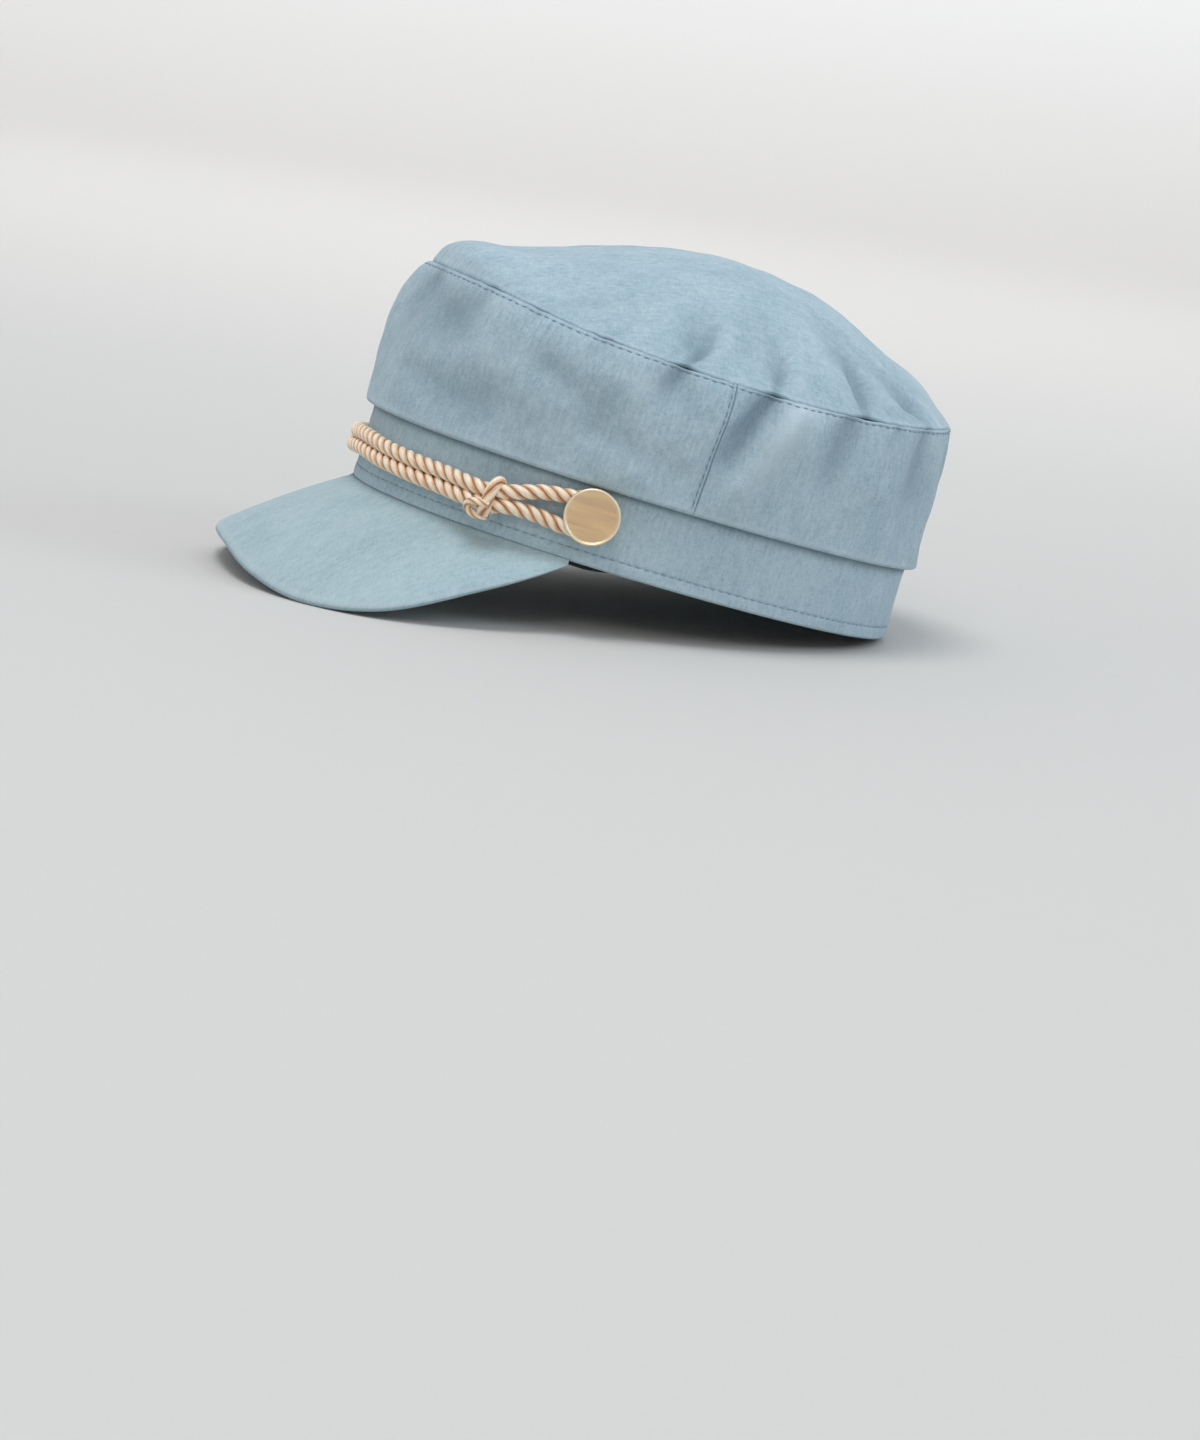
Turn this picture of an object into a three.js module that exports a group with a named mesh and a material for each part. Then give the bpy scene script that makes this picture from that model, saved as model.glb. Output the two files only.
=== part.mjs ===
// Captain hat: soft crown with a domed top, headband, stiff curved peak, and a twisted cord
// held by two metal buttons. Millimetres, +Z up, the peak points along -Y.
// The hat stands on its peak and on the back of its band, as it would on a table.
import * as THREE from 'three';

// Driving dimensions of the headband, in the hat's own frame: z = 0 is the band's lower edge.
const bandHalfLength = 100;
const bandHalfWidth = 82;
const ovalPower = 2.15;
const bandHeight = 28.5;
const clothWall = 2;
const seamGap = 0.3;

// Crown: its lower fold hangs a little over the band, its top seam is a smaller oval.
const foldOverhang = 3.6;
const foldBottom = 27;
const wallStart = 28.4;
const seamHalfLength = 97.3;
const seamHalfWidth = 79.8;
const seamShiftBack = 2.5;
const seamHeight = 73.5;
const seamRise = 6.2;
const wallBulge = 3.6;
const wallBulgeFront = 2.2;
const sideSeamGirth = 136;
const domeSquareness = 2.2;
const foldRows = [[0.5, 1.5], [1.4, 0.3], [2.8, 0]];
const foldInside = [[-1.5, 1.8], [-1.2, 2.7], [-0.3, 3.4]];
const insideStart = 31.2;

// Peak.
const peakHalfTurn = THREE.MathUtils.degToRad(65.9);
const peakThickness = 3.2;
const peakEndThinning = 0.65;
const peakEdgeRound = 1.6;
const peakHump = 1.8;
const peakMargin = 2;

// Sweatband: flush with the band, and a little lower along the peak.
const sweatbandWall = 1.2;
const sweatbandTop = 25;
const sweatbandClearance = 0.4;
const sweatbandDip = 1.5;
const sweatbandLift = 0.5;
const sweatbandRise = [0.05, 0.22];

// Cord and buttons. Girth is the distance round the band from the middle of the front.
const cordRadius = 2.5;
const wrapRadius = 1.7;
const buttonGirth = 103.9;
const buttonHeight = 17;
const buttonRadius = 9.7;
const shankRadius = 3;
const buttonFace = 1.9;
const rimProud = 0.4;
const rimInset = [0.4, 1.1, 1.4];
const buttonBevel = 0.5;
const knotGirth = 69;
const knotSlant = 2.4;
const knotPitch = 4.2;
const knotSquareness = 0.8;

// Reach and drop of the peak's edge, by share of the way from its middle to its end.
const peakEdge = [
  { share: 0, reach: 40.8, drop: 30 },
  { share: 0.2, reach: 40.3, drop: 33.4 },
  { share: 0.4, reach: 39.7, drop: 37 },
  { share: 0.6, reach: 34, drop: 31.4 },
  { share: 0.8, reach: 20, drop: 15.2 },
  { share: 1, reach: 1.6, drop: 0.6 },
];

// Height of the dome above the top seam along its middle line, front (0) to back (1).
const topRise = [
  { share: 0, rise: 0 },
  { share: 0.035, rise: 11.8 },
  { share: 0.115, rise: 16.4 },
  { share: 0.22, rise: 23.6 },
  { share: 0.4, rise: 35 },
  { share: 0.55, rise: 38.4 },
  { share: 0.68, rise: 35 },
  { share: 0.78, rise: 26.8 },
  { share: 0.88, rise: 16.3 },
  { share: 0.965, rise: 5.2 },
  { share: 1, rise: 0 },
];

// Height of the crown's wall at each row of its grid, 0 at the lower fold and 1 at the top seam.
const wallRows = [0, 0.12, 0.28, 0.44, 0.6, 0.74, 0.86, 0.95, 1];

// Dents (depth > 0) and ridges (depth < 0) of the crown's wall. Height is a share of the wall,
// along and across are half-lengths in mm, and lean turns the dent from upright, in degrees.
const wallDents = [
  { girth: 6, height: 0.74, along: 12, across: 9, lean: 30, depth: 2.2 },
  { girth: 30, height: 0.72, along: 14, across: 10, lean: 60, depth: 2 },
  { girth: 55, height: 0.3, along: 16, across: 9, lean: 70, depth: 1.6 },
  { girth: 86, height: 0.35, along: 14, across: 8, lean: 65, depth: 1.2 },
  { girth: 114, height: 0.84, along: 9, across: 7, lean: -20, depth: 1.6 },
  { girth: 144, height: 0.66, along: 20, across: 6, lean: 14, depth: 2.6 },
  { girth: 155, height: 0.55, along: 22, across: 6, lean: 22, depth: -1.8 },
  { girth: 181, height: 0.7, along: 16, across: 8, lean: 8, depth: 1.8 },
  { girth: 224, height: 0.62, along: 16, across: 9, lean: -12, depth: 1.8 },
  { girth: 262, height: 0.4, along: 15, across: 10, lean: 20, depth: 1.5 },
  { girth: -44, height: 0.66, along: 14, across: 10, lean: -50, depth: 1.8 },
  { girth: -92, height: 0.4, along: 15, across: 9, lean: -65, depth: 1.4 },
  { girth: -148, height: 0.62, along: 20, across: 7, lean: -16, depth: 2.2 },
  { girth: -190, height: 0.68, along: 16, across: 8, lean: 10, depth: 1.8 },
  { girth: -240, height: 0.5, along: 16, across: 9, lean: -14, depth: 1.6 },
];

// Puckers of the top near its seam, and one crease across its back. Inset is the distance from
// the middle as a share of the oval; along and across are half-lengths, toward the middle and round.
const topDents = [
  { girth: 118, inset: 0.84, along: 12, across: 6, depth: 2.6 },
  { girth: 153, inset: 0.87, along: 12, across: 6, depth: 2.6 },
  { girth: 195, inset: 0.84, along: 13, across: 7, depth: 2.6 },
  { girth: 228, inset: 0.9, along: 9, across: 7, depth: 1.8 },
  { girth: 262, inset: 0.82, along: 8, across: 16, depth: -2 },
  { girth: -128, inset: 0.85, along: 12, across: 7, depth: 2.2 },
  { girth: -172, inset: 0.86, along: 12, across: 7, depth: 2.4 },
  { girth: -218, inset: 0.85, along: 12, across: 7, depth: 2 },
];

// Heights of the two strands and how far their middle stands off the band, front to button.
const cordRoute = [
  { girth: 0, upper: 16.9, lower: 11.3, standOff: 2.9 },
  { girth: 20, upper: 16, lower: 10.4, standOff: 2.9 },
  { girth: 38, upper: 15.5, lower: 10.1, standOff: 2.9 },
  { girth: 53, upper: 15.4, lower: 10, standOff: 3.6 },
  { girth: 62, upper: 15.1, lower: 9.7, standOff: 6 },
  { girth: 70, upper: 15, lower: 9.7, standOff: 6.8 },
  { girth: 78, upper: 17.4, lower: 11.6, standOff: 5.4 },
  { girth: 86.5, upper: 19.8, lower: 11.7, standOff: 3.3 },
  { girth: 95.5, upper: 21.2, lower: 10.8, standOff: 2.9 },
];
const loopRadius = shankRadius + seamGap + cordRadius;
const loopTurns = [90, 62, 38, 16];

const cloth = new THREE.MeshStandardMaterial({ color: 0xa2b9c4, roughness: 0.92, metalness: 0 });
const peakCloth = new THREE.MeshStandardMaterial({ color: 0xaabdc4, roughness: 0.92, metalness: 0 });
const black = new THREE.MeshStandardMaterial({ color: 0x121314, roughness: 0.85, metalness: 0 });
const cordYarn = new THREE.MeshStandardMaterial({ color: 0xe3b492, roughness: 0.45, metalness: 0 });
const brass = new THREE.MeshStandardMaterial({ color: 0xc5ab86, roughness: 0.42, metalness: 1 });

const signedPower = (value, power) => Math.sign(value) * Math.abs(value) ** power;

// A point of an oval, turned from the middle of the front; a positive turn goes to +X.
function ovalPoint(turn, halfLength, halfWidth) {
  const power = 2 / ovalPower;
  return new THREE.Vector3(
    halfWidth * signedPower(Math.sin(turn), power),
    -halfLength * signedPower(Math.cos(turn), power),
    0,
  );
}

// The level direction that points straight out of the band at that turn.
function ovalNormal(turn) {
  const p = ovalPoint(turn, bandHalfLength, bandHalfWidth);
  return new THREE.Vector3(
    signedPower(p.x / bandHalfWidth, ovalPower - 1) / bandHalfWidth,
    signedPower(p.y / bandHalfLength, ovalPower - 1) / bandHalfLength,
    0,
  ).normalize();
}

// A point at a height above the band's lower edge, moved out of the band by an offset.
function bandPoint(turn, offset, height) {
  const p = ovalPoint(turn, bandHalfLength, bandHalfWidth);
  p.addScaledVector(ovalNormal(turn), offset);
  p.z = height;
  return p;
}

// Girth along the band against turn, added up in small steps over half the oval.
const girthSteps = 720;
const girths = [0];
for (let i = 1; i <= girthSteps; i += 1) {
  const before = ovalPoint(((i - 1) / girthSteps) * Math.PI, bandHalfLength, bandHalfWidth);
  const here = ovalPoint((i / girthSteps) * Math.PI, bandHalfLength, bandHalfWidth);
  girths.push(girths[i - 1] + before.distanceTo(here));
}
const halfGirth = girths[girthSteps];

function turnAt(girth) {
  const target = Math.abs(girth);
  let i = 1;
  while (i < girthSteps && girths[i] < target) i += 1;
  const part = (target - girths[i - 1]) / (girths[i] - girths[i - 1]);
  return Math.sign(girth) * ((i - 1 + part) / girthSteps) * Math.PI;
}

function girthAt(turn) {
  const place = Math.min(Math.abs(turn) / Math.PI, 2) * girthSteps;
  const folded = place > girthSteps ? 2 * girthSteps - place : place;
  const i = Math.min(Math.floor(folded), girthSteps - 1);
  const girth = girths[i] + (folded - i) * (girths[i + 1] - girths[i]);
  return Math.sign(turn) * (place > girthSteps ? 2 * halfGirth - girth : girth);
}

// The shortest way round the band from one girth to another.
function girthBetween(from, to) {
  const whole = 2 * halfGirth;
  return ((((to - from + halfGirth) % whole) + whole) % whole) - halfGirth;
}

// A table's column at a key, on a smooth curve through its rows.
function fromTable(table, key, column, value) {
  const last = table.length - 1;
  let i = 0;
  while (i < last - 1 && table[i + 1][key] < value) i += 1;
  const width = table[i + 1][key] - table[i][key];
  const t = THREE.MathUtils.clamp((value - table[i][key]) / width, 0, 1);
  const slope = (k) => {
    const a = table[Math.max(k - 1, 0)];
    const b = table[Math.min(k + 1, last)];
    return ((b[column] - a[column]) / (b[key] - a[key])) * width;
  };
  const [y0, y1] = [table[i][column], table[i + 1][column]];
  const [m0, m1] = [slope(i), slope(i + 1)];
  const [t2, t3] = [t * t, t * t * t];
  return (2 * t3 - 3 * t2 + 1) * y0 + (t3 - 2 * t2 + t) * m0 + (3 * t2 - 2 * t3) * y1 + (t3 - t2) * m1;
}

// The same table with its rows repeated on the other side of zero.
const bothSides = (table, key) => [
  ...table.slice(1).reverse().map((row) => ({ ...row, [key]: -row[key] })),
  ...table,
];

const evenly = (count, from, to) =>
  Array.from({ length: count + 1 }, (_, i) => from + ((to - from) * i) / count);

// A closed wall between an outer and an inner grid. Columns run round, rows run up or inward.
// Points that coincide are shared, so a ring closes on itself and a pole is one point.
function wallBetween(outer, inner, ring) {
  const index = new Map();
  const positions = [];
  const triangles = [];
  const vertex = (p) => {
    const key = p.toArray().map((v) => Math.round(v * 1e4)).join();
    if (!index.has(key)) {
      index.set(key, positions.length / 3);
      positions.push(p.x, p.y, p.z);
    }
    return index.get(key);
  };
  const triangle = (a, b, c) => {
    if (a !== b && b !== c && c !== a) triangles.push(a, b, c);
  };
  const quad = (...corners) => {
    const [a, b, c, d] = corners.map(vertex);
    triangle(a, b, c);
    triangle(a, c, d);
  };
  const columns = outer.length - 1;
  const rows = outer[0].length - 1;
  for (let i = 0; i < columns; i += 1) {
    for (let j = 0; j < rows; j += 1) {
      quad(outer[i][j], outer[i + 1][j], outer[i + 1][j + 1], outer[i][j + 1]);
      quad(inner[i][j], inner[i][j + 1], inner[i + 1][j + 1], inner[i + 1][j]);
    }
    quad(inner[i][0], inner[i + 1][0], outer[i + 1][0], outer[i][0]);
    quad(outer[i][rows], outer[i + 1][rows], inner[i + 1][rows], inner[i][rows]);
  }
  for (let j = 0; j < rows && !ring; j += 1) {
    quad(outer[0][j], outer[0][j + 1], inner[0][j + 1], inner[0][j]);
    quad(inner[columns][j], inner[columns][j + 1], outer[columns][j + 1], outer[columns][j]);
  }
  const geometry = new THREE.BufferGeometry();
  geometry.setAttribute('position', new THREE.Float32BufferAttribute(positions, 3));
  geometry.setIndex(triangles);
  return geometry;
}

function piece(name, geometry, material) {
  const mesh = new THREE.Mesh(geometry, material);
  mesh.name = name;
  return mesh;
}

const ringTurns = (count) => evenly(count, -Math.PI, Math.PI);

function makeBand() {
  const column = (offset) => (turn) => [bandPoint(turn, offset, 0), bandPoint(turn, offset, bandHeight)];
  const turns = ringTurns(56);
  return piece('band', wallBetween(turns.map(column(0)), turns.map(column(-clothWall)), true), cloth);
}

// The sweatband's lower edge: it dips below the band along the peak and rises behind it.
function sweatbandBottom(turn) {
  const [start, end] = sweatbandRise.map((past) => peakHalfTurn + past);
  const behind = THREE.MathUtils.smoothstep(Math.abs(turn), start, end);
  return (sweatbandDip + sweatbandLift) * behind - sweatbandDip;
}

function makeSweatband() {
  const outside = -clothWall - sweatbandClearance;
  const column = (offset) => (turn) => [
    bandPoint(turn, offset, sweatbandBottom(turn)),
    bandPoint(turn, offset, sweatbandTop),
  ];
  const turns = ringTurns(56);
  const outer = turns.map(column(outside));
  const inner = turns.map(column(outside - sweatbandWall));
  return piece('sweatband', wallBetween(outer, inner, true), black);
}

const wholePeakEdge = bothSides(peakEdge, 'share');

// The peak leaves the band's lower edge and slopes out and down to its edge. Out is the share of
// its reach, and -1 is the margin that is sewn in below the band.
function peakPoint(turn, out, under) {
  const share = turn / peakHalfTurn;
  const reach = fromTable(wholePeakEdge, 'share', 'reach', share);
  const drop = fromTable(wholePeakEdge, 'share', 'drop', share);
  const outward = Math.max(out, 0);
  const humped = peakHump * 4 * outward * (1 - outward) * (1 - share ** 4);
  const fromEdge = Math.min((reach * (1 - outward)) / peakEdgeRound, 1);
  const rounding = out < 0 ? 0 : peakEdgeRound * (1 - Math.sqrt(1 - (1 - fromEdge) ** 2));
  const thickness = peakThickness * (1 - peakEndThinning * share ** 8);
  const rounded = (rounding / peakEdgeRound) * 0.4 * thickness;
  const height = -seamGap - drop * outward + humped;
  const offset = out < 0 ? out * peakMargin : reach * out;
  return bandPoint(turn, offset, under ? height - thickness + rounded : height - rounded);
}

function makePeak() {
  const outRows = [1, 0.985, 0.95, 0.85, 0.68, 0.5, 0.32, 0.15, 0, -1];
  const turns = evenly(32, -peakHalfTurn, peakHalfTurn);
  const side = (under) => turns.map((turn) => outRows.map((out) => peakPoint(turn, out, under)));
  return piece('peak', wallBetween(side(false), side(true), false), peakCloth);
}

// The top seam: an oval that rises a little toward the front and the back.
function seamPoint(turn, offset) {
  const p = ovalPoint(turn, seamHalfLength, seamHalfWidth);
  p.addScaledVector(ovalNormal(turn), offset);
  p.y += seamShiftBack;
  p.z = seamLevel(p.y);
  return p;
}

function seamLevel(y) {
  return seamHeight + seamRise * (y / bandHalfLength) ** 2;
}

// How far the dents push a point of the wall in.
function wallDent(turn, height) {
  const wallLength = seamHeight - wallStart;
  return wallDents.reduce((sum, dent) => {
    const round = girthBetween(dent.girth, girthAt(turn));
    const up = (height - dent.height) * wallLength;
    const lean = THREE.MathUtils.degToRad(dent.lean);
    const along = up * Math.cos(lean) + round * Math.sin(lean);
    const across = round * Math.cos(lean) - up * Math.sin(lean);
    return sum + dent.depth * Math.exp(-((along / dent.along) ** 2) - (across / dent.across) ** 2);
  }, 0);
}

// The outside of the crown's wall: from the lower fold to the seam, fullest below the seam.
function wallPoint(turn, height, offset) {
  const low = bandPoint(turn, foldOverhang + offset, wallStart);
  const high = seamPoint(turn, offset);
  high.z -= seamGap / 2;
  const p = low.lerp(high, height);
  const full = Math.sin(Math.PI * Math.min(height ** 1.9, 1)) ** 0.5;
  const bulge = wallBulge + wallBulgeFront * Math.cos(turn);
  const swell = height > 0 && height < 1 ? bulge * full : 0;
  const held = 1 - (2 * height - 1) ** 8;
  return p.addScaledVector(ovalNormal(turn), swell - wallDent(turn, height) * held);
}

// One panel of the crown's wall. Its lower edge is folded in under itself onto the band's top edge.
function makeCrownSide(name, from, to, columns) {
  const turns = evenly(columns, from, to);
  const folded = (turn) => ([offset, up]) => bandPoint(turn, offset, foldBottom + up);
  const outer = turns.map((turn) => [
    ...foldRows.map(folded(turn)),
    ...wallRows.map((height) => wallPoint(turn, height, 0)),
  ]);
  const inner = turns.map((turn) => [
    ...foldInside.map(folded(turn)),
    ...wallRows.map((height) => {
      const p = wallPoint(turn, height, -clothWall);
      p.z = Math.max(p.z, insideStart);
      return p;
    }),
  ]);
  return piece(name, wallBetween(outer, inner, false), cloth);
}

// The outside of the top: a dome whose middle line follows the rise table. Inset 1 is the seam.
function topPoint(turn, inset) {
  const edge = seamPoint(turn, 0);
  const p = new THREE.Vector3(edge.x * inset, (edge.y - seamShiftBack) * inset + seamShiftBack, 0);
  const back = (p.y - seamShiftBack) / seamHalfLength;
  const halfWidth = seamHalfWidth * Math.max(1 - Math.abs(back) ** ovalPower, 1e-6) ** (1 / ovalPower);
  const sideways = Math.min(Math.abs(p.x) / halfWidth, 1);
  const rise = fromTable(topRise, 'share', 'rise', (back + 1) / 2) * (1 - sideways ** domeSquareness);
  const girth = girthAt(turn);
  const dented = topDents.reduce((sum, dent) => {
    const round = girthBetween(dent.girth, girth) * inset;
    const inward = (dent.inset - inset) * seamHalfWidth;
    return sum + dent.depth * Math.exp(-((inward / dent.along) ** 2) - (round / dent.across) ** 2);
  }, 0);
  p.z = seamLevel(p.y) + seamGap / 2 + rise - dented * (1 - inset ** 16);
  return p;
}

// The inside of the top lies one wall below the outside, and never below the seam.
function topInside(turn, inset) {
  const edge = seamPoint(turn, -clothWall);
  if (inset === 1) return edge.setZ(edge.z + seamGap / 2);
  const p = topPoint(turn, inset);
  const shrunk = 1 - (clothWall / seamHalfWidth) * inset;
  p.x *= shrunk;
  p.y = (p.y - seamShiftBack) * shrunk + seamShiftBack;
  p.z = Math.max(p.z - clothWall, seamLevel(p.y) + seamGap / 2);
  return p;
}

function makeCrownTop() {
  const insets = [1, 0.98, 0.95, 0.9, 0.83, 0.74, 0.62, 0.48, 0.32, 0.16, 0];
  const turns = ringTurns(48);
  const side = (point) => turns.map((turn) => insets.map((inset) => point(turn, inset)));
  return piece('crown_top', wallBetween(side(topPoint), side(topInside), true), cloth);
}

// A round cord along a route: an eight-sided section carried along a smooth curve.
function cordAlong(name, points, radius, steps) {
  const corners = evenly(7, 0, (7 / 4) * Math.PI);
  const section = new THREE.Shape(
    corners.map((angle) => new THREE.Vector2(radius * Math.cos(angle), radius * Math.sin(angle))),
  );
  const extrudePath = new THREE.CatmullRomCurve3(points, false, 'centripetal');
  const geometry = new THREE.ExtrudeGeometry(section, { steps, bevelEnabled: false, extrudePath });
  return piece(name, geometry, cordYarn);
}

const girthPoint = (girth, offset, height) => bandPoint(turnAt(girth), offset, height);

// One strand from the back of one button's shank, round it, over the front and round the other.
// Way is +1 for the upper strand and -1 for the lower one.
function makeStrand(name, column, way) {
  const half = cordRoute.map((row) => [row.girth, row.standOff, row[column]]);
  const loop = loopTurns.map((degrees) => {
    const angle = THREE.MathUtils.degToRad(degrees);
    const round = buttonGirth + loopRadius * Math.cos(angle);
    return [round, cordRadius + 2 * seamGap, buttonHeight + way * loopRadius * Math.sin(angle)];
  });
  const rightSide = [...half, ...loop];
  const leftSide = rightSide.slice(1).reverse().map(([girth, offset, height]) => [-girth, offset, height]);
  const points = [...leftSide, ...rightSide].map((row) => girthPoint(...row));
  return cordAlong(name, points, cordRadius, 42);
}

// One turn of cord round both strands. It crosses their front from high at the button's side
// to low at the peak's side, and its two ends lie behind them.
function makeKnot(name, side) {
  const halfDepth = cordRadius + 2 * seamGap + wrapRadius;
  const points = evenly(20, -174, 174).map((degrees) => {
    const angle = THREE.MathUtils.degToRad(degrees);
    const round = knotGirth + knotSlant * Math.sin(angle) + (knotPitch * degrees) / 360;
    const [standOff, upper, lower] = ['standOff', 'upper', 'lower'].map((column) =>
      fromTable(cordRoute, 'girth', column, round));
    const halfHeight = (upper - lower) / 2 + halfDepth;
    const depth = halfDepth * signedPower(Math.cos(angle), knotSquareness);
    const height = (upper + lower) / 2 + halfHeight * signedPower(Math.sin(angle), knotSquareness);
    return girthPoint(side * round, standOff + depth, height);
  });
  return cordAlong(name, points, wrapRadius, 20);
}

// A flat round button: shank, back, thin raised rim and plain face, turned about its axis.
function makeButton(name, side) {
  const back = 2 * (cordRadius + seamGap) + seamGap;
  const profile = [
    [0, seamGap],
    [shankRadius, seamGap],
    [shankRadius, back],
    [buttonRadius - buttonBevel, back],
    [buttonRadius, back + buttonBevel],
    [buttonRadius, back + buttonFace],
    [buttonRadius - rimInset[0], back + buttonFace + rimProud],
    [buttonRadius - rimInset[1], back + buttonFace + rimProud],
    [buttonRadius - rimInset[2], back + buttonFace],
    [0, back + buttonFace],
  ];
  const geometry = new THREE.LatheGeometry(profile.map((p) => new THREE.Vector2(...p)), 20);
  const button = piece(name, geometry, brass);
  const turn = turnAt(side * buttonGirth);
  button.position.copy(bandPoint(turn, 0, buttonHeight));
  button.quaternion.setFromUnitVectors(new THREE.Vector3(0, 1, 0), ovalNormal(turn));
  return button;
}

const sideTurn = turnAt(sideSeamGirth);
const halfGapTurn = seamGap / 2 / bandHalfWidth;
const hat = new THREE.Group();
hat.add(
  makeCrownTop(),
  makeCrownSide('crown_side_front', -sideTurn + halfGapTurn, sideTurn - halfGapTurn, 30),
  makeCrownSide('crown_side_rear', sideTurn + halfGapTurn, 2 * Math.PI - sideTurn - halfGapTurn, 32),
  makeBand(),
  makeSweatband(),
  makePeak(),
  makeStrand('cord_upper', 'upper', 1),
  makeStrand('cord_lower', 'lower', -1),
  makeKnot('knot_left', 1),
  makeKnot('knot_right', -1),
  makeButton('button_left', 1),
  makeButton('button_right', -1),
);

// The hat tips back until the peak's lowest places and the back of the band stand on one level.
const underPeak = evenly(32, 0, 1).map((share) => peakPoint(share * peakHalfTurn, 0.985, true));
const tips = underPeak.map((p) => Math.atan2(-p.z, bandHalfLength - p.y));
hat.rotation.x = -Math.max(...tips);

const box = new THREE.Box3().setFromObject(hat, true);
const middle = box.getCenter(new THREE.Vector3());
hat.position.set(-middle.x, -middle.y, -box.min.z);

const captainHat = new THREE.Group();
captainHat.add(hat);

export default captainHat;
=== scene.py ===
# Captain hat: washed pale blue cloth, curved peak, twisted cord with two knots, two brass buttons.
# Shapes are worked out in the hat's own frame in millimetres (band's lower edge at z = 0, the
# peak toward -Y), then tipped and moved to where the hat stands, in metres.
import math
import bpy
import numpy as np
from mathutils import Matrix


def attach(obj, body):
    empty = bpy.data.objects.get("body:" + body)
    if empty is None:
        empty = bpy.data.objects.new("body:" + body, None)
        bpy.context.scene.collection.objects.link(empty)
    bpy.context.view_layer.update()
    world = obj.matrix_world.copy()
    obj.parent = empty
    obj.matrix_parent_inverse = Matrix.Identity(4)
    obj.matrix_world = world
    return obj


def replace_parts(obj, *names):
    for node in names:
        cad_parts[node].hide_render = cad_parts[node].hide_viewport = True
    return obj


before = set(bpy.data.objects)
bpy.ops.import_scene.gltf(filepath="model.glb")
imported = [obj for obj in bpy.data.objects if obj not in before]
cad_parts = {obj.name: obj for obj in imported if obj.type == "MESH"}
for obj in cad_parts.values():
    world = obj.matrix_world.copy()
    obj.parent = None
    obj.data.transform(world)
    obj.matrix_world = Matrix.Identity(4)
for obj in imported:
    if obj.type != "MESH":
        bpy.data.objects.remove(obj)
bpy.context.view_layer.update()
print("scene: frame loaded with", len(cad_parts), "nodes")

hatPose = {"tip": -10.08594, "shift": (0.0, 15.801846, 17.512517)}
headOval = {"halfLength": 100.0, "halfWidth": 82.0, "power": 2.15, "steps": 4000}


def tipMatrix():
    # a turn about X by the tip
    tip = math.radians(hatPose["tip"])
    return np.array([[1, 0, 0], [0, math.cos(tip), -math.sin(tip)], [0, math.sin(tip), math.cos(tip)]])


def placed(points):
    # row frame = the hat's point turned about X by the tip, plus the shift, in metres
    return (points @ tipMatrix().T + np.array(hatPose["shift"])) / 1000


def placeCamera():
    # The camera looks along its own back axis from the hat; azimuth runs from the peak to the wearer's left.
    view = {"azimuth": 70.0, "elevation": 6.7997, "roll": 17.5328, "distance": 1504.165,
            "right": 6.9776, "up": 58.8444, "lens": 105.0, "sensor": 36.0}
    azimuth, elevation, roll = (math.radians(view[key]) for key in ("azimuth", "elevation", "roll"))
    back = np.array([math.sin(azimuth) * math.cos(elevation), -math.cos(azimuth) * math.cos(elevation),
                     math.sin(elevation)])
    level = np.array([math.cos(azimuth), math.sin(azimuth), 0])
    lift = np.cross(back, level)
    right = level * math.cos(roll) + lift * math.sin(roll)
    up = -level * math.sin(roll) + lift * math.cos(roll)
    eye = placed(back * view["distance"] - right * view["right"] - up * view["up"])
    axes = tipMatrix() @ np.stack([right, up, back], axis=1)
    data = bpy.data.cameras.new("camera")
    data.lens = view["lens"]
    data.sensor_width = view["sensor"]
    data.clip_end = 50
    camera = bpy.data.objects.new("camera", data)
    pose = np.eye(4)
    pose[:3, :3] = axes
    pose[:3, 3] = eye
    camera.matrix_world = Matrix(pose.tolist())
    bpy.context.collection.objects.link(camera)
    bpy.context.scene.camera = camera


# Shared shapes

def unit(vectors):
    return vectors / np.maximum(np.linalg.norm(vectors, axis=-1, keepdims=True), 1e-9)


def signedPower(value, power):
    return np.sign(value) * np.abs(value) ** power


def ovalPoint(turn, halfLength=headOval["halfLength"], halfWidth=headOval["halfWidth"]):
    # x = half width by the signed power of the turn's sine, y = minus half length by that of its cosine
    power = 2 / headOval["power"]
    x = halfWidth * signedPower(np.sin(turn), power)
    y = -halfLength * signedPower(np.cos(turn), power)
    return np.stack([x, y, np.zeros_like(x)], axis=-1)


def ovalNormal(turn):
    # the level direction out of the band: the gradient of the oval's equation
    p = ovalPoint(turn)
    x = signedPower(p[..., 0] / headOval["halfWidth"], headOval["power"] - 1) / headOval["halfWidth"]
    y = signedPower(p[..., 1] / headOval["halfLength"], headOval["power"] - 1) / headOval["halfLength"]
    return unit(np.stack([x, y, np.zeros_like(x)], axis=-1))


def bandPoint(turn, offset, height):
    # a point at a height above the band's lower edge, moved out of the band by an offset
    turn, offset, height = np.broadcast_arrays(turn, offset, height)
    p = ovalPoint(turn) + ovalNormal(turn) * offset[..., None]
    p[..., 2] = height
    return p


def lengthAlong(line):
    # the length of a line of points from its start to each of them
    return np.concatenate([[0], np.cumsum(np.linalg.norm(np.diff(line, axis=0), axis=1))])


turnTable = np.linspace(-2 * math.pi, 2 * math.pi, headOval["steps"] + 1)
girthTable = lengthAlong(ovalPoint(turnTable))
girthTable -= np.interp(0, turnTable, girthTable)
wholeGirth = float(np.interp(math.pi, turnTable, girthTable) * 2)


def turnAt(girth):
    # the turn round the oval at a length along the band from the middle of its front, and back again
    return np.interp(girth, girthTable, turnTable)


def girthAt(turn):
    return np.interp(turn, turnTable, girthTable)


def girthRound(count):
    # even places round the band, from the back to the back
    return np.linspace(-wholeGirth / 2, wholeGirth / 2, count, endpoint=False)


def circle(count):
    return np.linspace(0, 2 * math.pi, count, endpoint=False)


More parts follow.
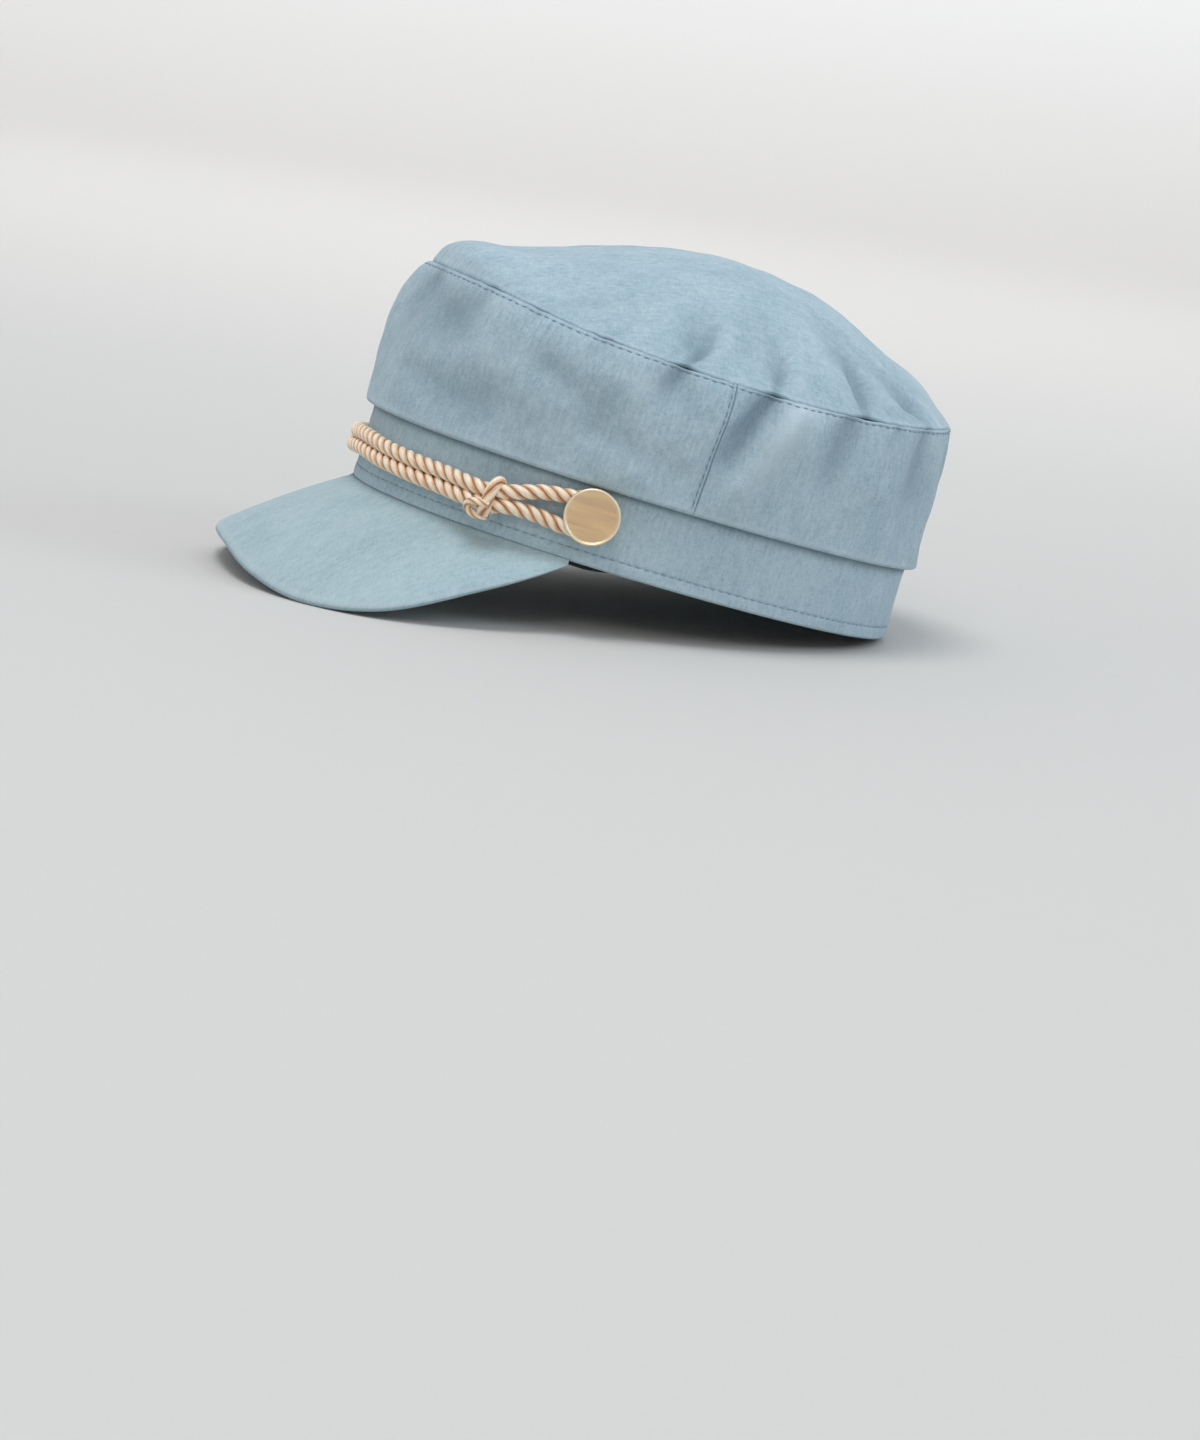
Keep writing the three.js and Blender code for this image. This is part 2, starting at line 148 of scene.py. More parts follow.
def girthBetween(start, end):
    # the shortest way round the band
    return (end - start + wholeGirth / 2) % wholeGirth - wholeGirth / 2


def fromTable(table, value, column):
    # a smooth curve through one column of the table's rows, with the slopes of the rows beside each
    rows = np.array(table, float)
    key, data = rows[:, 0], rows[:, column]
    i = np.clip(np.searchsorted(key, value, side="left") - 1, 0, len(key) - 2)
    width = key[i + 1] - key[i]
    t = np.clip((value - key[i]) / width, 0, 1)
    before, after = np.maximum(i - 1, 0), np.minimum(i + 2, len(key) - 1)
    slope0 = (data[i + 1] - data[before]) / (key[i + 1] - key[before]) * width
    slope1 = (data[after] - data[i]) / (key[after] - key[i]) * width
    return ((2 * t**3 - 3 * t**2 + 1) * data[i] + (t**3 - 2 * t**2 + t) * slope0
            + (3 * t**2 - 2 * t**3) * data[i + 1] + (t**3 - t**2) * slope1)


def smoothstep(value, low, high):
    # 0 up to low, 1 from high on, and 3 t squared less 2 t cubed between
    t = np.clip((value - low) / (high - low), 0, 1)
    return t * t * (3 - 2 * t)


def bell(distance, width):
    # e to the power of minus the square of distance over width
    return np.exp(-(distance / width) ** 2)


def rumple(u, v, size, seed):
    # a sum of plane waves in random directions, about -1 to 1, whose length is near the size
    waves = {"count": 12, "shortest": 0.6, "longest": 1.6, "evenOut": 3.5}
    random = np.random.default_rng(seed)
    total = np.zeros(np.broadcast(u, v).shape)
    for _ in range(waves["count"]):
        angle = random.uniform(0, math.pi)
        number = 2 * math.pi / (size * random.uniform(waves["shortest"], waves["longest"]))
        phase = random.uniform(0, 2 * math.pi)
        total += np.sin(number * (u * math.cos(angle) + v * math.sin(angle)) + phase)
    return total / waves["evenOut"]


def creased(u, v, creases):
    # the sum of the creases' depths: each is a bell across a straight line that fades toward its end
    total = np.zeros(np.broadcast(u, v).shape)
    for u0, v0, u1, v1, width, depth, fade in creases:
        along = np.array([u1 - u0, v1 - v0])
        t = np.clip(((u - u0) * along[0] + (v - v0) * along[1]) / (along @ along), 0, 1)
        away = np.hypot(u - u0 - t * along[0], v - v0 - t * along[1])
        total += depth * (1 - fade * t) * bell(away, width * (1 + 0.5 * t))
    return total


def gridNormals(points):
    # the cross product of the way along the columns and the way along the rows
    return unit(np.cross(np.gradient(points, axis=1), np.gradient(points, axis=0)))


def gridFaces(rows, columns, roundRows=False, roundColumns=False):
    # four corners for each cell, and the row and column of each corner, counted on past the closing
    i, j = np.indices((rows - (not roundRows), columns - (not roundColumns)))
    cornerRow = np.stack([i, i, i + 1, i + 1], axis=-1).reshape(-1, 4)
    cornerColumn = np.stack([j, j + 1, j + 1, j], axis=-1).reshape(-1, 4)
    return cornerRow % rows * columns + cornerColumn % columns, cornerRow, cornerColumn


def addPiece(name, points, faces, uv, material, slotName, marks=None, wall=0.0):
    # points in the hat's frame; uv holds one pair for each face corner; marks are values for each point
    mesh = bpy.data.meshes.new(name)
    mesh.from_pydata(placed(points).tolist(), [], [list(face) for face in faces])
    layer = mesh.uv_layers.new(name="thread")
    layer.data.foreach_set("uv", np.asarray(uv, np.float32).ravel())
    for key, values in (marks or {}).items():
        mark = mesh.attributes.new(key, "FLOAT", "POINT")
        mark.data.foreach_set("value", values.astype(np.float32).ravel())
    mesh.polygons.foreach_set("use_smooth", [True] * len(mesh.polygons))
    mesh.materials.append(material)
    mesh.update()
    obj = bpy.data.objects.new(name, mesh)
    bpy.context.collection.objects.link(obj)
    if wall:
        solid = obj.modifiers.new("wall", "SOLIDIFY")
        solid.thickness = wall / 1000
        solid.offset = -1
        solid.use_even_offset = False
    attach(obj, "root")
    return obj


def gridUv(cornerRow, cornerColumn, u, v):
    # u and v are whole arrays of rows by columns, with one more row or column where the grid closes
    return np.stack([u[cornerRow, cornerColumn], v[cornerRow, cornerColumn]], axis=-1)


def closingSteps(fine, coarse, whole):
    # places from 0 to the whole: close together at both ends, then even
    near = np.array(fine)
    count = max(int((whole - 2 * near[-1]) / coarse), 1)
    middle = np.linspace(near[-1], whole - near[-1], count + 1)[1:-1]
    return np.concatenate([near, middle, whole - near[::-1]])


# Materials

def fillInputs(tree, node, inputs):
    # an output of another node is linked, and a plain value is set on the node's own socket
    for key, value in inputs.items():
        if isinstance(value, bpy.types.NodeSocket):
            tree.links.new(value, node.inputs[key])
        else:
            node.inputs[key].default_value = value


def addNode(tree, kind, inputs=None, **settings):
    made = tree.nodes.new(kind)
    for key, value in settings.items():
        setattr(made, key, value)
    fillInputs(tree, made, inputs or {})
    return made


def calculate(tree, operation, first, second=0.0, third=0.0):
    return addNode(tree, "ShaderNodeMath", {0: first, 1: second, 2: third}, operation=operation).outputs[0]


def weighted(tree, *terms):
    # the sum of the values, each times its weight
    total = 0.0
    for value, weight in terms:
        total = calculate(tree, "MULTIPLY_ADD", value, weight, total)
    return total


def mixColour(tree, factor, first, second):
    return addNode(tree, "ShaderNodeMix", {0: factor, 6: first, 7: second}, data_type="RGBA").outputs[2]


def remap(tree, value, low, high, toLow=0.0, toHigh=1.0):
    # from one range to another in a straight line, held at its ends
    return addNode(tree, "ShaderNodeMapRange", {0: value, 1: low, 2: high, 3: toLow, 4: toHigh}).outputs[0]


def bumped(tree, height, strength, distance):
    given = {"Strength": strength, "Distance": distance, "Height": height}
    return addNode(tree, "ShaderNodeBump", given).outputs[0]


def stretchedNoise(tree, vector, scale, detail, roughness, place=(0, 0, 0)):
    # noise with a scale of its own along each way of the cloth
    mapped = addNode(tree, "ShaderNodeMapping", {"Vector": vector, "Scale": scale, "Location": place})
    made = addNode(tree, "ShaderNodeTexNoise",
                   {"Vector": mapped.outputs[0], "Scale": 1.0, "Detail": detail, "Roughness": roughness})
    return made.outputs[0]


def newGroup(name, inputs, outputs):
    # a node group with named sockets, the values given to it, and the node that takes its results
    group = bpy.data.node_groups.new(name, "ShaderNodeTree")
    for way, sockets in (("INPUT", inputs), ("OUTPUT", outputs)):
        for label, kind in sockets.items():
            group.interface.new_socket(label, in_out=way, socket_type="NodeSocket" + kind)
    return group, group.nodes.new("NodeGroupInput").outputs, group.nodes.new("NodeGroupOutput")


def makeLinenWeave():
    # Threads both ways, slubs along the upright ones, specks of pale and dark fibre, washed patches.
    # The tone is their weighted sum about 0; below 0 it mixes toward dark, above 0 toward pale.
    group, given, out = newGroup("linenWeave", {
        "Vector": "Vector", "Dark": "Color", "Middle": "Color", "Pale": "Color",
        "Contrast": "Float", "Patches": "Float",
    }, {"Color": "Color", "Height": "Float", "Fuzz": "Float"})
    vector = given["Vector"]
    upright = stretchedNoise(group, vector, (2.1, 0.3, 1), 3, 0.6)
    level = stretchedNoise(group, vector, (0.36, 2.1, 1), 3, 0.6, (7, 3, 1))
    slub = stretchedNoise(group, vector, (0.9, 0.07, 1), 2, 0.5, (31, 5, 2))
    speck = stretchedNoise(group, vector, (0.55, 0.4, 1), 4, 0.75, (3, 17, 5))
    patch = stretchedNoise(group, vector, (0.05, 0.035, 1), 3, 0.55, (11, 2, 9))
    threads = weighted(group, (upright, 0.55), (level, 0.45))
    tone = weighted(group, (threads, 0.55), (speck, 0.3), (slub, 0.15))
    tone = calculate(group, "MULTIPLY", calculate(group, "SUBTRACT", tone, 0.5), 3.0)
    tone = calculate(group, "MULTIPLY", tone, given["Contrast"])
    cloudy = stretchedNoise(group, vector, (0.19, 0.13, 1), 3, 0.6, (7, 3, 1))
    washed = calculate(group, "SUBTRACT", calculate(group, "MULTIPLY_ADD", cloudy, 0.7, patch), 0.85)
    tone = calculate(group, "MULTIPLY_ADD", washed, given["Patches"], tone)
    down = addNode(group, "ShaderNodeClamp", {0: calculate(group, "MULTIPLY", tone, -1.6)}).outputs[0]
    upTone = addNode(group, "ShaderNodeClamp", {0: calculate(group, "MULTIPLY", tone, 1.6)}).outputs[0]
    colour = mixColour(group, down, given["Middle"], given["Dark"])
    colour = mixColour(group, upTone, colour, given["Pale"])
    height = calculate(group, "MULTIPLY_ADD", slub, 0.5, threads)
    fuzz = calculate(group, "MULTIPLY_ADD", speck, 0.16, 0.8)
    fillInputs(group, out, {"Color": colour, "Height": height, "Fuzz": fuzz})
    return group


def makeYarnTwist():
    # Filaments that run slantwise along a ply, and a tone from painted shade in the hollow between plies,
    # through the yarn's own colour, to a painted highlight on the ply's crown.
    group, given, out = newGroup("yarnTwist", {
        "Vector": "Vector", "Crown": "Float", "Shade": "Color", "Middle": "Color", "Bright": "Color",
    }, {"Color": "Color", "Height": "Float", "Gloss": "Float"})
    vector = given["Vector"]
    strand = stretchedNoise(group, vector, (14.0, 0.35, 1), 3, 0.6)
    uneven = stretchedNoise(group, vector, (3.0, 0.15, 1), 2, 0.5, (5, 9, 2))
    crown = calculate(group, "SUBTRACT", calculate(group, "MULTIPLY_ADD", strand, 0.5, given["Crown"]), 0.25)
    colour = mixColour(group, remap(group, crown, 0.46, 0.86), given["Shade"], given["Middle"])
    colour = mixColour(group, remap(group, crown, 0.82, 1.03), colour, given["Bright"])
    height = calculate(group, "MULTIPLY_ADD", uneven, 0.5, strand)
    gloss = calculate(group, "MULTIPLY_ADD", strand, 0.25, 0.28)
    fillInputs(group, out, {"Color": colour, "Height": height, "Gloss": gloss})
    return group


def newMaterial(name):
    material = bpy.data.materials.new(name)
    material.use_nodes = True
    tree = material.node_tree
    return material, tree, tree.nodes["Principled BSDF"]


def useGroup(tree, group, settings, **linked):
    # a group takes the settings that are named as its inputs are, in small letters
    given = {key.capitalize(): value for key, value in dict(settings, **linked).items()}
    wanted = {socket.name for socket in group.interface.items_tree if socket.in_out == "INPUT"}
    given = {key: value for key, value in given.items() if key in wanted}
    return addNode(tree, "ShaderNodeGroup", given, node_tree=group).outputs


def threadUv(tree):
    return addNode(tree, "ShaderNodeUVMap", uv_map="thread").outputs[0]


def markOf(tree, name):
    return addNode(tree, "ShaderNodeAttribute", attribute_name=name).outputs["Fac"]


def clothMaterial(name, weave, colours):
    # the weave, paler where an edge is worn and with a painted highlight on fold ridges, mixed toward a
    # painted-shade colour in seams, stitch grooves, folds and other hollows
    material, tree, shader = newMaterial(name)
    woven = useGroup(tree, weave, colours, vector=threadUv(tree))
    wearAndHighlight = mixColour(tree, markOf(tree, "wearAndHighlight"), woven["Color"], colours["pale"])
    fillInputs(tree, shader, {
        "Base Color": mixColour(tree, markOf(tree, "paintedShade"), wearAndHighlight, colours["paintedShade"]),
        "Roughness": woven["Fuzz"], "Normal": bumped(tree, woven["Height"], 0.45, 0.00035),
        "Sheen Weight": 0.12, "Sheen Roughness": 0.5, "Specular IOR Level": 0.25})
    return material


def yarnMaterial(name, twist, colours):
    # the twisted filaments, a little glossy, with painted shade in the hollows and a painted highlight on
    # each ply's crown
    material, tree, shader = newMaterial(name)
    spun = useGroup(tree, twist, colours, vector=threadUv(tree), crown=markOf(tree, "crown"))
    fillInputs(tree, shader, {
        "Base Color": spun["Color"], "Roughness": spun["Gloss"],
        "Normal": bumped(tree, spun["Height"], 0.5, 0.0002), "Sheen Weight": 0.2, "Specular IOR Level": 0.6})
    return material


def brassMaterial():
    # brushed one way across the face, duller in the middle than on the rim
    colours = {"face": (0.86, 0.62, 0.35, 1), "dull": (0.66, 0.45, 0.29, 1), "rim": (0.98, 0.84, 0.6, 1)}
    material, tree, shader = newMaterial("buttonBrass")
    vector = threadUv(tree)
    brushed = stretchedNoise(tree, vector, (0.12, 5.0, 1), 4, 0.6)
    cloud = stretchedNoise(tree, vector, (0.03, 0.3, 1), 3, 0.6, (4, 8, 1))
    colour = mixColour(tree, remap(tree, cloud, 0.35, 0.62), colours["face"], colours["dull"])
    colour = mixColour(tree, remap(tree, brushed, 0.3, 0.7, 0.0, 0.5), colour, colours["face"])
    fillInputs(tree, shader, {
        "Base Color": mixColour(tree, markOf(tree, "rim"), colour, colours["rim"]),
        "Roughness": remap(tree, brushed, 0.3, 0.7, 0.36, 0.52),
        "Normal": bumped(tree, brushed, 0.25, 0.0001), "Metallic": 1.0})
    return material


def twillMaterial():
    # black twill: slanted ribs and a little grey lint
    colours = {"cloth": (0.006, 0.006, 0.007, 1), "lint": (0.03, 0.031, 0.034, 1)}
    material, tree, shader = newMaterial("blackTwill")
    vector = threadUv(tree)
    turned = addNode(tree, "ShaderNodeMapping", {"Vector": vector, "Rotation": (0, 0, 0.9)})
    ribs = addNode(tree, "ShaderNodeTexWave", {"Vector": turned.outputs[0], "Scale": 0.45, "Distortion": 0.6})
    lint = stretchedNoise(tree, vector, (0.8, 0.8, 1), 4, 0.7)
    colour = mixColour(tree, remap(tree, lint, 0.45, 0.8), colours["cloth"], colours["lint"])
    fillInputs(tree, shader, {
        "Base Color": colour, "Roughness": calculate(tree, "MULTIPLY_ADD", lint, 0.2, 0.72),
        "Normal": bumped(tree, ribs.outputs["Fac"], 0.6, 0.0003), "Sheen Weight": 0.1})
    return material


# the darkest blue-grey here is painted shade: cloth is mixed toward it wherever shade falls in seams, grooves
# and folds
crownColours = {"dark": (0.21, 0.315, 0.385, 1), "middle": (0.375, 0.495, 0.555, 1),
                "pale": (0.56, 0.66, 0.7, 1), "paintedShade": (0.13, 0.2, 0.25, 1), "contrast": 1.0, "patches": 0.65}
bandColours = dict(crownColours, middle=(0.4, 0.525, 0.59, 1), patches=0.5)
peakColours = dict(crownColours, middle=(0.4, 0.525, 0.562, 1), contrast=0.75, patches=0.45)
# the darkest yarn colour is painted shade between the plies, the palest a painted highlight on their crowns;
# the middle one is the yarn's own colour
yarnColours = {"shade": (0.27, 0.115, 0.045, 1), "middle": (0.9, 0.55, 0.31, 1),
               "bright": (1.0, 0.92, 0.76, 1)}

linenWeave = makeLinenWeave()
yarnTwist = makeYarnTwist()
crownCloth = clothMaterial("crownCloth", linenWeave, crownColours)
bandCloth = clothMaterial("bandCloth", linenWeave, bandColours)
peakCloth = clothMaterial("peakCloth", linenWeave, peakColours)
cordYarn = yarnMaterial("cordYarn", yarnTwist, yarnColours)
buttonBrass = brassMaterial()
blackTwill = twillMaterial()
print("scene: materials made")

# Seams and stitches

# the two dark values are the strengths of painted shade in the seam's groove and under its stitches
seam = {"stitchAway": 1.2, "wide": 0.3, "dip": 0.2, "roll": 0.12, "rollAway": 0.6, "dark": 0.45,
        "stitchShade": 0.3,
        "fine": (0, 0.2, 0.4, 0.6, 0.8, 1.0, 1.2, 1.4, 1.7, 2.4, 2.9, 3.6, 4.4)}
stitch = {"pitch": 3.1, "long": 2.1, "radius": 0.27, "corners": 6, "rings": 5, "sink": 0.16}


def seamRelief(away, stitched=True):
    # a dip at the seam, a full roll beside it, and a dip under the stitches
    relief = seam["roll"] * bell(away - seam["rollAway"], 0.35) - seam["dip"] * bell(away, 0.25)
    return relief - (seam["dip"] * bell(away - seam["stitchAway"], seam["wide"]) if stitched else 0)


def seamShade(away, stitched=True):
    # painted shade: darkest in the seam's groove, and a little in the dip under the stitches
    paintedShade = seam["dark"] * bell(away, seam["wide"])
    return paintedShade + (seam["stitchShade"] * bell(away - seam["stitchAway"], seam["wide"]) if stitched else 0)


def nearest(values, wanted):
    # the place in the row of the value nearest to the one wanted
    return int(np.argmin(np.abs(values - wanted)))


def uneven(girth):
    # how strongly the seam's painted shade shows from place to place
    return 0.6 + 0.4 * np.clip(rumple(girth, 0 * girth, 17, 77), -1, 1)


def sampleLine(line, values, places):
    return np.stack([np.interp(places, line, values[:, axis]) for axis in range(3)], axis=-1)


def stitchRow(points, normals, skip=0.0):
    # each stitch is a short tube along the line: its radius swells and its middle lifts as half a sine
    line = lengthAlong(points)
    count = int((line[-1] - 2 * skip) / stitch["pitch"])
    pitch = (line[-1] - 2 * skip) / count
    start = skip + pitch * (np.arange(count) + 0.5) - stitch["long"] / 2
    share = np.linspace(0, 1, stitch["rings"])
    places = (start[:, None] + share * stitch["long"]).ravel()
    middle = sampleLine(line, points, places)
    out = sampleLine(line, normals, places)
    ahead = unit(sampleLine(line, points, places + 0.1) - sampleLine(line, points, places - 0.1))
    side = np.cross(ahead, out)
    full = np.tile(np.sqrt(np.sin(math.pi * np.clip(share, 0.04, 0.96))), count)
    middle = middle + out * (stitch["radius"] * full - stitch["sink"])[:, None]
    corner = circle(stitch["corners"])
    ring = out[:, None] * np.cos(corner)[:, None] + side[:, None] * np.sin(corner)[:, None]
    vertices = middle[:, None] + ring * (stitch["radius"] * full)[:, None, None]
    faces, cornerRow, cornerColumn = gridFaces(stitch["rings"], stitch["corners"], roundColumns=True)
    size = stitch["rings"] * stitch["corners"]
    quads = (faces[None] + (np.arange(count) * size)[:, None, None]).reshape(-1, 4)
    uv = np.tile(np.stack([cornerColumn / stitch["corners"], cornerRow * 0.5], axis=-1), (count, 1, 1))
    return vertices.reshape(-1, 3), quads[:, ::-1], uv[:, ::-1].reshape(-1, 2)


def joined(parts):
    # several (points, faces, uv) as one
    starts = np.cumsum([0] + [len(part[0]) for part in parts[:-1]])
    return (np.concatenate([part[0] for part in parts]),
            np.concatenate([part[1] + start for part, start in zip(parts, starts)]),
            np.concatenate([part[2].reshape(-1, 2) for part in parts]))


# Crown

# the fold values set how much painted shade the folds take and how much painted highlight the ridges take
crown = {"overhang": 3.6, "wallStart": 28.4, "foldRadius": 1.4, "seamHalfLength": 97.3, "seamHalfWidth": 79.8,
         "shiftBack": 2.5, "seamHeight": 73.5, "seamRise": 6.2, "frontLift": 1.8, "topSwell": 1.7,
         "frontFrom": 55, "frontTo": 92, "foldShadeStrength": 0.12, "foldHighlightStrength": 0.15, "bulge": 3.6, "bulgeFront": 2.2,
         "sideSeam": 136.0, "seamGap": 0.03, "cloth": 1.0, "columns": 0.8, "rows": 1.15, "topColumns": 560}
crown["wallHeight"] = crown["seamHeight"] - crown["wallStart"]
# girth, height, half-length along, half-length across, lean from upright, depth
wallDents = [
    (6, 0.74, 12, 9, 30, 3.4), (30, 0.72, 14, 10, 60, 3.2), (55, 0.3, 16, 9, 70, 2.08),
    (86, 0.35, 14, 8, 65, 1.56), (114, 0.84, 9, 7, -20, 2.08), (144, 0.66, 20, 6, 14, 3.38),
    (155, 0.55, 22, 6, 22, -2.34), (181, 0.7, 16, 8, 8, 2.34),
    (224, 0.62, 16, 9, -12, 2.34), (262, 0.4, 15, 10, 20, 1.95), (-44, 0.66, 14, 10, -50, 2.34),
    (-92, 0.4, 15, 9, -65, 1.82), (-148, 0.62, 20, 7, -16, 2.86), (-190, 0.68, 16, 8, 10, 2.34),
    (-240, 0.5, 16, 9, -14, 2.08),
]
# girth and mm above the fold at the start and at the end, width, depth, how much it fades
wallCreases = [
    (116, 45, 112, 32, 2.8, 2.75, 0.7), (150, 44, 139, 22, 3.0, 3.5, 0.6), (161, 43, 145, 14, 4.2, -2.0, 0.6),
    (183, 44, 180, 22, 3.8, 2.0, 0.6), (206, 45, 203, 30, 2.8, 1.75, 0.7), (226, 44, 222, 24, 3.6, 2.0, 0.6),
    (72, 30, 100, 22, 4.4, 1.62, 0.4), (20, 14, 56, 9, 4.4, 1.5, 0.4), (88, 44, 84, 36, 2.4, 1.38, 0.7),
    (62, 44, 60, 37, 2.0, 1.0, 0.7), (40, 44, 37, 36, 2.4, 1.25, 0.7), (8, 40, 36, 30, 5.0, 1.5, 0.3),
    (96, 16, 124, 10, 4.0, 1.12, 0.4), (50, 26, 84, 18, 4.5, -1.0, 0.4), (255, 44, 250, 28, 3.0, 1.75, 0.6),
    (-30, 44, -34, 34, 2.4, 0.88, 0.7), (-74, 44, -70, 34, 2.4, 1.0, 0.7),
    (-118, 45, -113, 30, 2.6, 1.38, 0.7), (-152, 44, -144, 20, 3.0, 1.5, 0.6),
    (-186, 44, -184, 24, 3.2, 1.12, 0.6), (-232, 44, -236, 24, 3.2, 1.12, 0.6),
    (-270, 44, -266, 26, 3.0, 1.0, 0.6),
]
# how the top seam is drawn in where the top is puckered: girth, half-width, depth
seamPulls = [(117, 4, 1.0), (151, 4, 0.9), (191, 6, 1.0), (228, 4, 0.6), (88, 4, 0.4), (62, 3, 0.3),
             (40, 4, 0.4), (-30, 4, 0.4), (-74, 4, 0.5), (-118, 5, 0.9), (-172, 6, 0.9), (-218, 6, 0.9)]


def seamLevel(y):
    # the top seam's height grows with the square of y, and a little more at the front
    lift = crown["frontLift"] * smoothstep(-y, crown["frontFrom"], crown["frontTo"])
    return crown["seamHeight"] + crown["seamRise"] * (y / headOval["halfLength"]) ** 2 + lift


def seamPoint(turn, offset):
    # the top seam: a smaller oval, moved back, that rises toward the front and the back
    p = ovalPoint(turn, crown["seamHalfLength"], crown["seamHalfWidth"])
    girth = girthAt(turn)
    pull = sum(depth * bell(girthBetween(place, girth), width) for place, width, depth in seamPulls)
    p = p + ovalNormal(turn) * (offset - pull)[..., None]
    p[..., 1] += crown["shiftBack"]
    p[..., 2] = seamLevel(p[..., 1]) - 0.3 * pull + 0.12 * np.sin(girth * 0.9) * np.sin(girth * 0.13)
    return p


def wallDent(girth, share):
    # how far the wall is pushed in: bells for the soft dents, and the creases
    dent = creased(girthBetween(0, girth), share * crown["wallHeight"], wallCreases)
    for place, level, along, across, lean, depth in wallDents:
        aside = girthBetween(place, girth)
        up = (share - level) * crown["wallHeight"]
        lean = math.radians(lean)
        dent = dent + depth * (bell(up * math.cos(lean) + aside * math.sin(lean), along)
                               * bell(aside * math.cos(lean) - up * math.sin(lean), across))
    return dent


def puckers(girth, fromSeam, depth):
    # small gathers along the seam: a sine whose length wanders, fading from the seam
    wave = np.sin(girth * 1.02 + 2 * np.sin(girth * 0.11))
    return depth * wave * bell(fromSeam, 5.0) * smoothstep(fromSeam, 0, 3)


def wallSurface(girth, height):
    # from the lower fold to the seam in a straight line, pushed out by half a sine that is fullest
    # below the seam, and pushed in by the dents
    girth, height = np.broadcast_arrays(girth, height)
    turn = turnAt(girth)
    low = bandPoint(turn, crown["overhang"], crown["wallStart"])
    high = seamPoint(turn, np.zeros_like(turn))
    high[..., 2] -= 0.02
    share = np.clip(height, 0, 1)
    p = low + (high - low) * share[..., None]
    full = np.sin(math.pi * np.minimum(share**1.9, 1)) ** 0.5
    swell = np.where(share < 1, (crown["bulge"] + crown["bulgeFront"] * np.cos(turn)) * full, 0)
    up = share * crown["wallHeight"]
    dent = wallDent(girth, share) - 0.35 * rumple(girth, up, 38, 3) - 0.12 * rumple(girth, up, 13, 5)
    held = 1 - (2 * share - 1) ** 8
    out = swell - dent * held - puckers(girth, crown["wallHeight"] - up, 0.22)
    return p + ovalNormal(turn) * out[..., None]


def foldLighting(dent):
    # painted shade in the folds, where a dent pushes the cloth in, and a painted highlight on the ridges,
    # where it pushes out
    return np.clip(dent * crown["foldShadeStrength"], 0, 0.5), np.clip(-dent * crown["foldHighlightStrength"], 0, 0.5)


def wallProfile():
    # places up the wall: the hem turned in under the fold, its roll, then the wall up to the seam
    roll = np.radians(np.linspace(-90, -15, 6))
    radius = crown["foldRadius"]
    hem = [(-1.2, 29.3), (0.3, 29.1), (0.95, 28.3), (1.5, 27.35)]
    hem += [(crown["overhang"] - radius + radius * math.cos(a), crown["wallStart"] + radius * math.sin(a))
            for a in roll]
    away = closingSteps(seam["fine"], crown["rows"], crown["wallHeight"])
    up = np.concatenate([[0, 0.5, 1.0, 1.7, 2.5], crown["wallHeight"] - away[away < crown["wallHeight"] - 3]])
    return np.array(hem), np.unique(up) / crown["wallHeight"]


def makeWall(name, start, end, stitchedStart, stitchedEnd):
    # hem and wall as one grid, moved along its normals by the relief of the seams round it; the last
    # row is the seam's allowance, turned in. Rows of stitches follow the seams.
    hem, heights = wallProfile()
    away = closingSteps(seam["fine"], crown["columns"], end - start)
    girth = start + away
    turn = turnAt(girth)
    length = crown["wallHeight"]
    turnedIn = bandPoint(turn[None], hem[:, :1], hem[:, 1:])
    points = np.concatenate([turnedIn, wallSurface(girth[None], heights[:, None])])
    behind = np.array([2.6, 1.6, 0.8, 0.2] + [0] * (len(hem) - 4))
    up = np.concatenate([hem[:, 1] - crown["wallStart"] - behind, heights * length])
    fromTop = np.where(up > 3, length - up, 60)[:, None]
    fromStart, fromEnd = (girth - start)[None], (end - girth)[None]
    onWall = smoothstep(up, -1, 1.5)[:, None]
    relief = (seamRelief(fromTop) + seamRelief(fromStart, stitchedStart) * onWall
              + seamRelief(fromEnd, stitchedEnd) * onWall)
    points = points + gridNormals(points) * relief[..., None]
    tuck = points[-1] - ovalNormal(turn) * 0.8 - np.array([0, 0, 0.2])
    points = np.concatenate([points, tuck[None]])
    up = np.append(up, length + 0.8)
    # the marks: painted shade in the seams and in the folds; paler where the hem's fold and the seam's roll
    # are worn, and a painted highlight on the ridges
    paintedShade = (seamShade(fromTop) * uneven(girth[None])
            + (seamShade(fromStart, stitchedStart) + seamShade(fromEnd, stitchedEnd)) * onWall)
    paintedShade = np.concatenate([paintedShade, paintedShade[-1:]])
    creaseShade, ridgeHighlight = foldLighting(wallDent(girth[None], np.clip(up / length, 0, 1)[:, None]))
    paintedShade = np.clip(paintedShade + creaseShade, 0, 1)
    wearAndHighlight = 0.22 * bell(up[:, None] - 0.2, 1.0) + 0.12 * bell(length - up[:, None] - 0.7, 0.5) + ridgeHighlight
    faces, cornerRow, cornerColumn = gridFaces(*points.shape[:2])
    uv = gridUv(cornerRow, cornerColumn, *np.meshgrid(girth, up))
    made = addPiece(name, points.reshape(-1, 3), faces, uv, crownCloth, "crown_cloth",
                    {"wearAndHighlight": wearAndHighlight, "paintedShade": paintedShade}, crown["cloth"])
    normals = gridNormals(points)
    level = nearest(length - up, seam["stitchAway"])
    rows = [stitchRow(points[level], normals[level], 0.6)]
    first, last = nearest(up, 1.2), nearest(length - up, 1.6)
    for stitched, column in ((stitchedStart, nearest(away, seam["stitchAway"])),
                             (stitchedEnd, nearest(end - girth, seam["stitchAway"]))):
        if stitched:
            rows.append(stitchRow(points[first:last, column], normals[first:last, column], 0.4))
    return made, rows


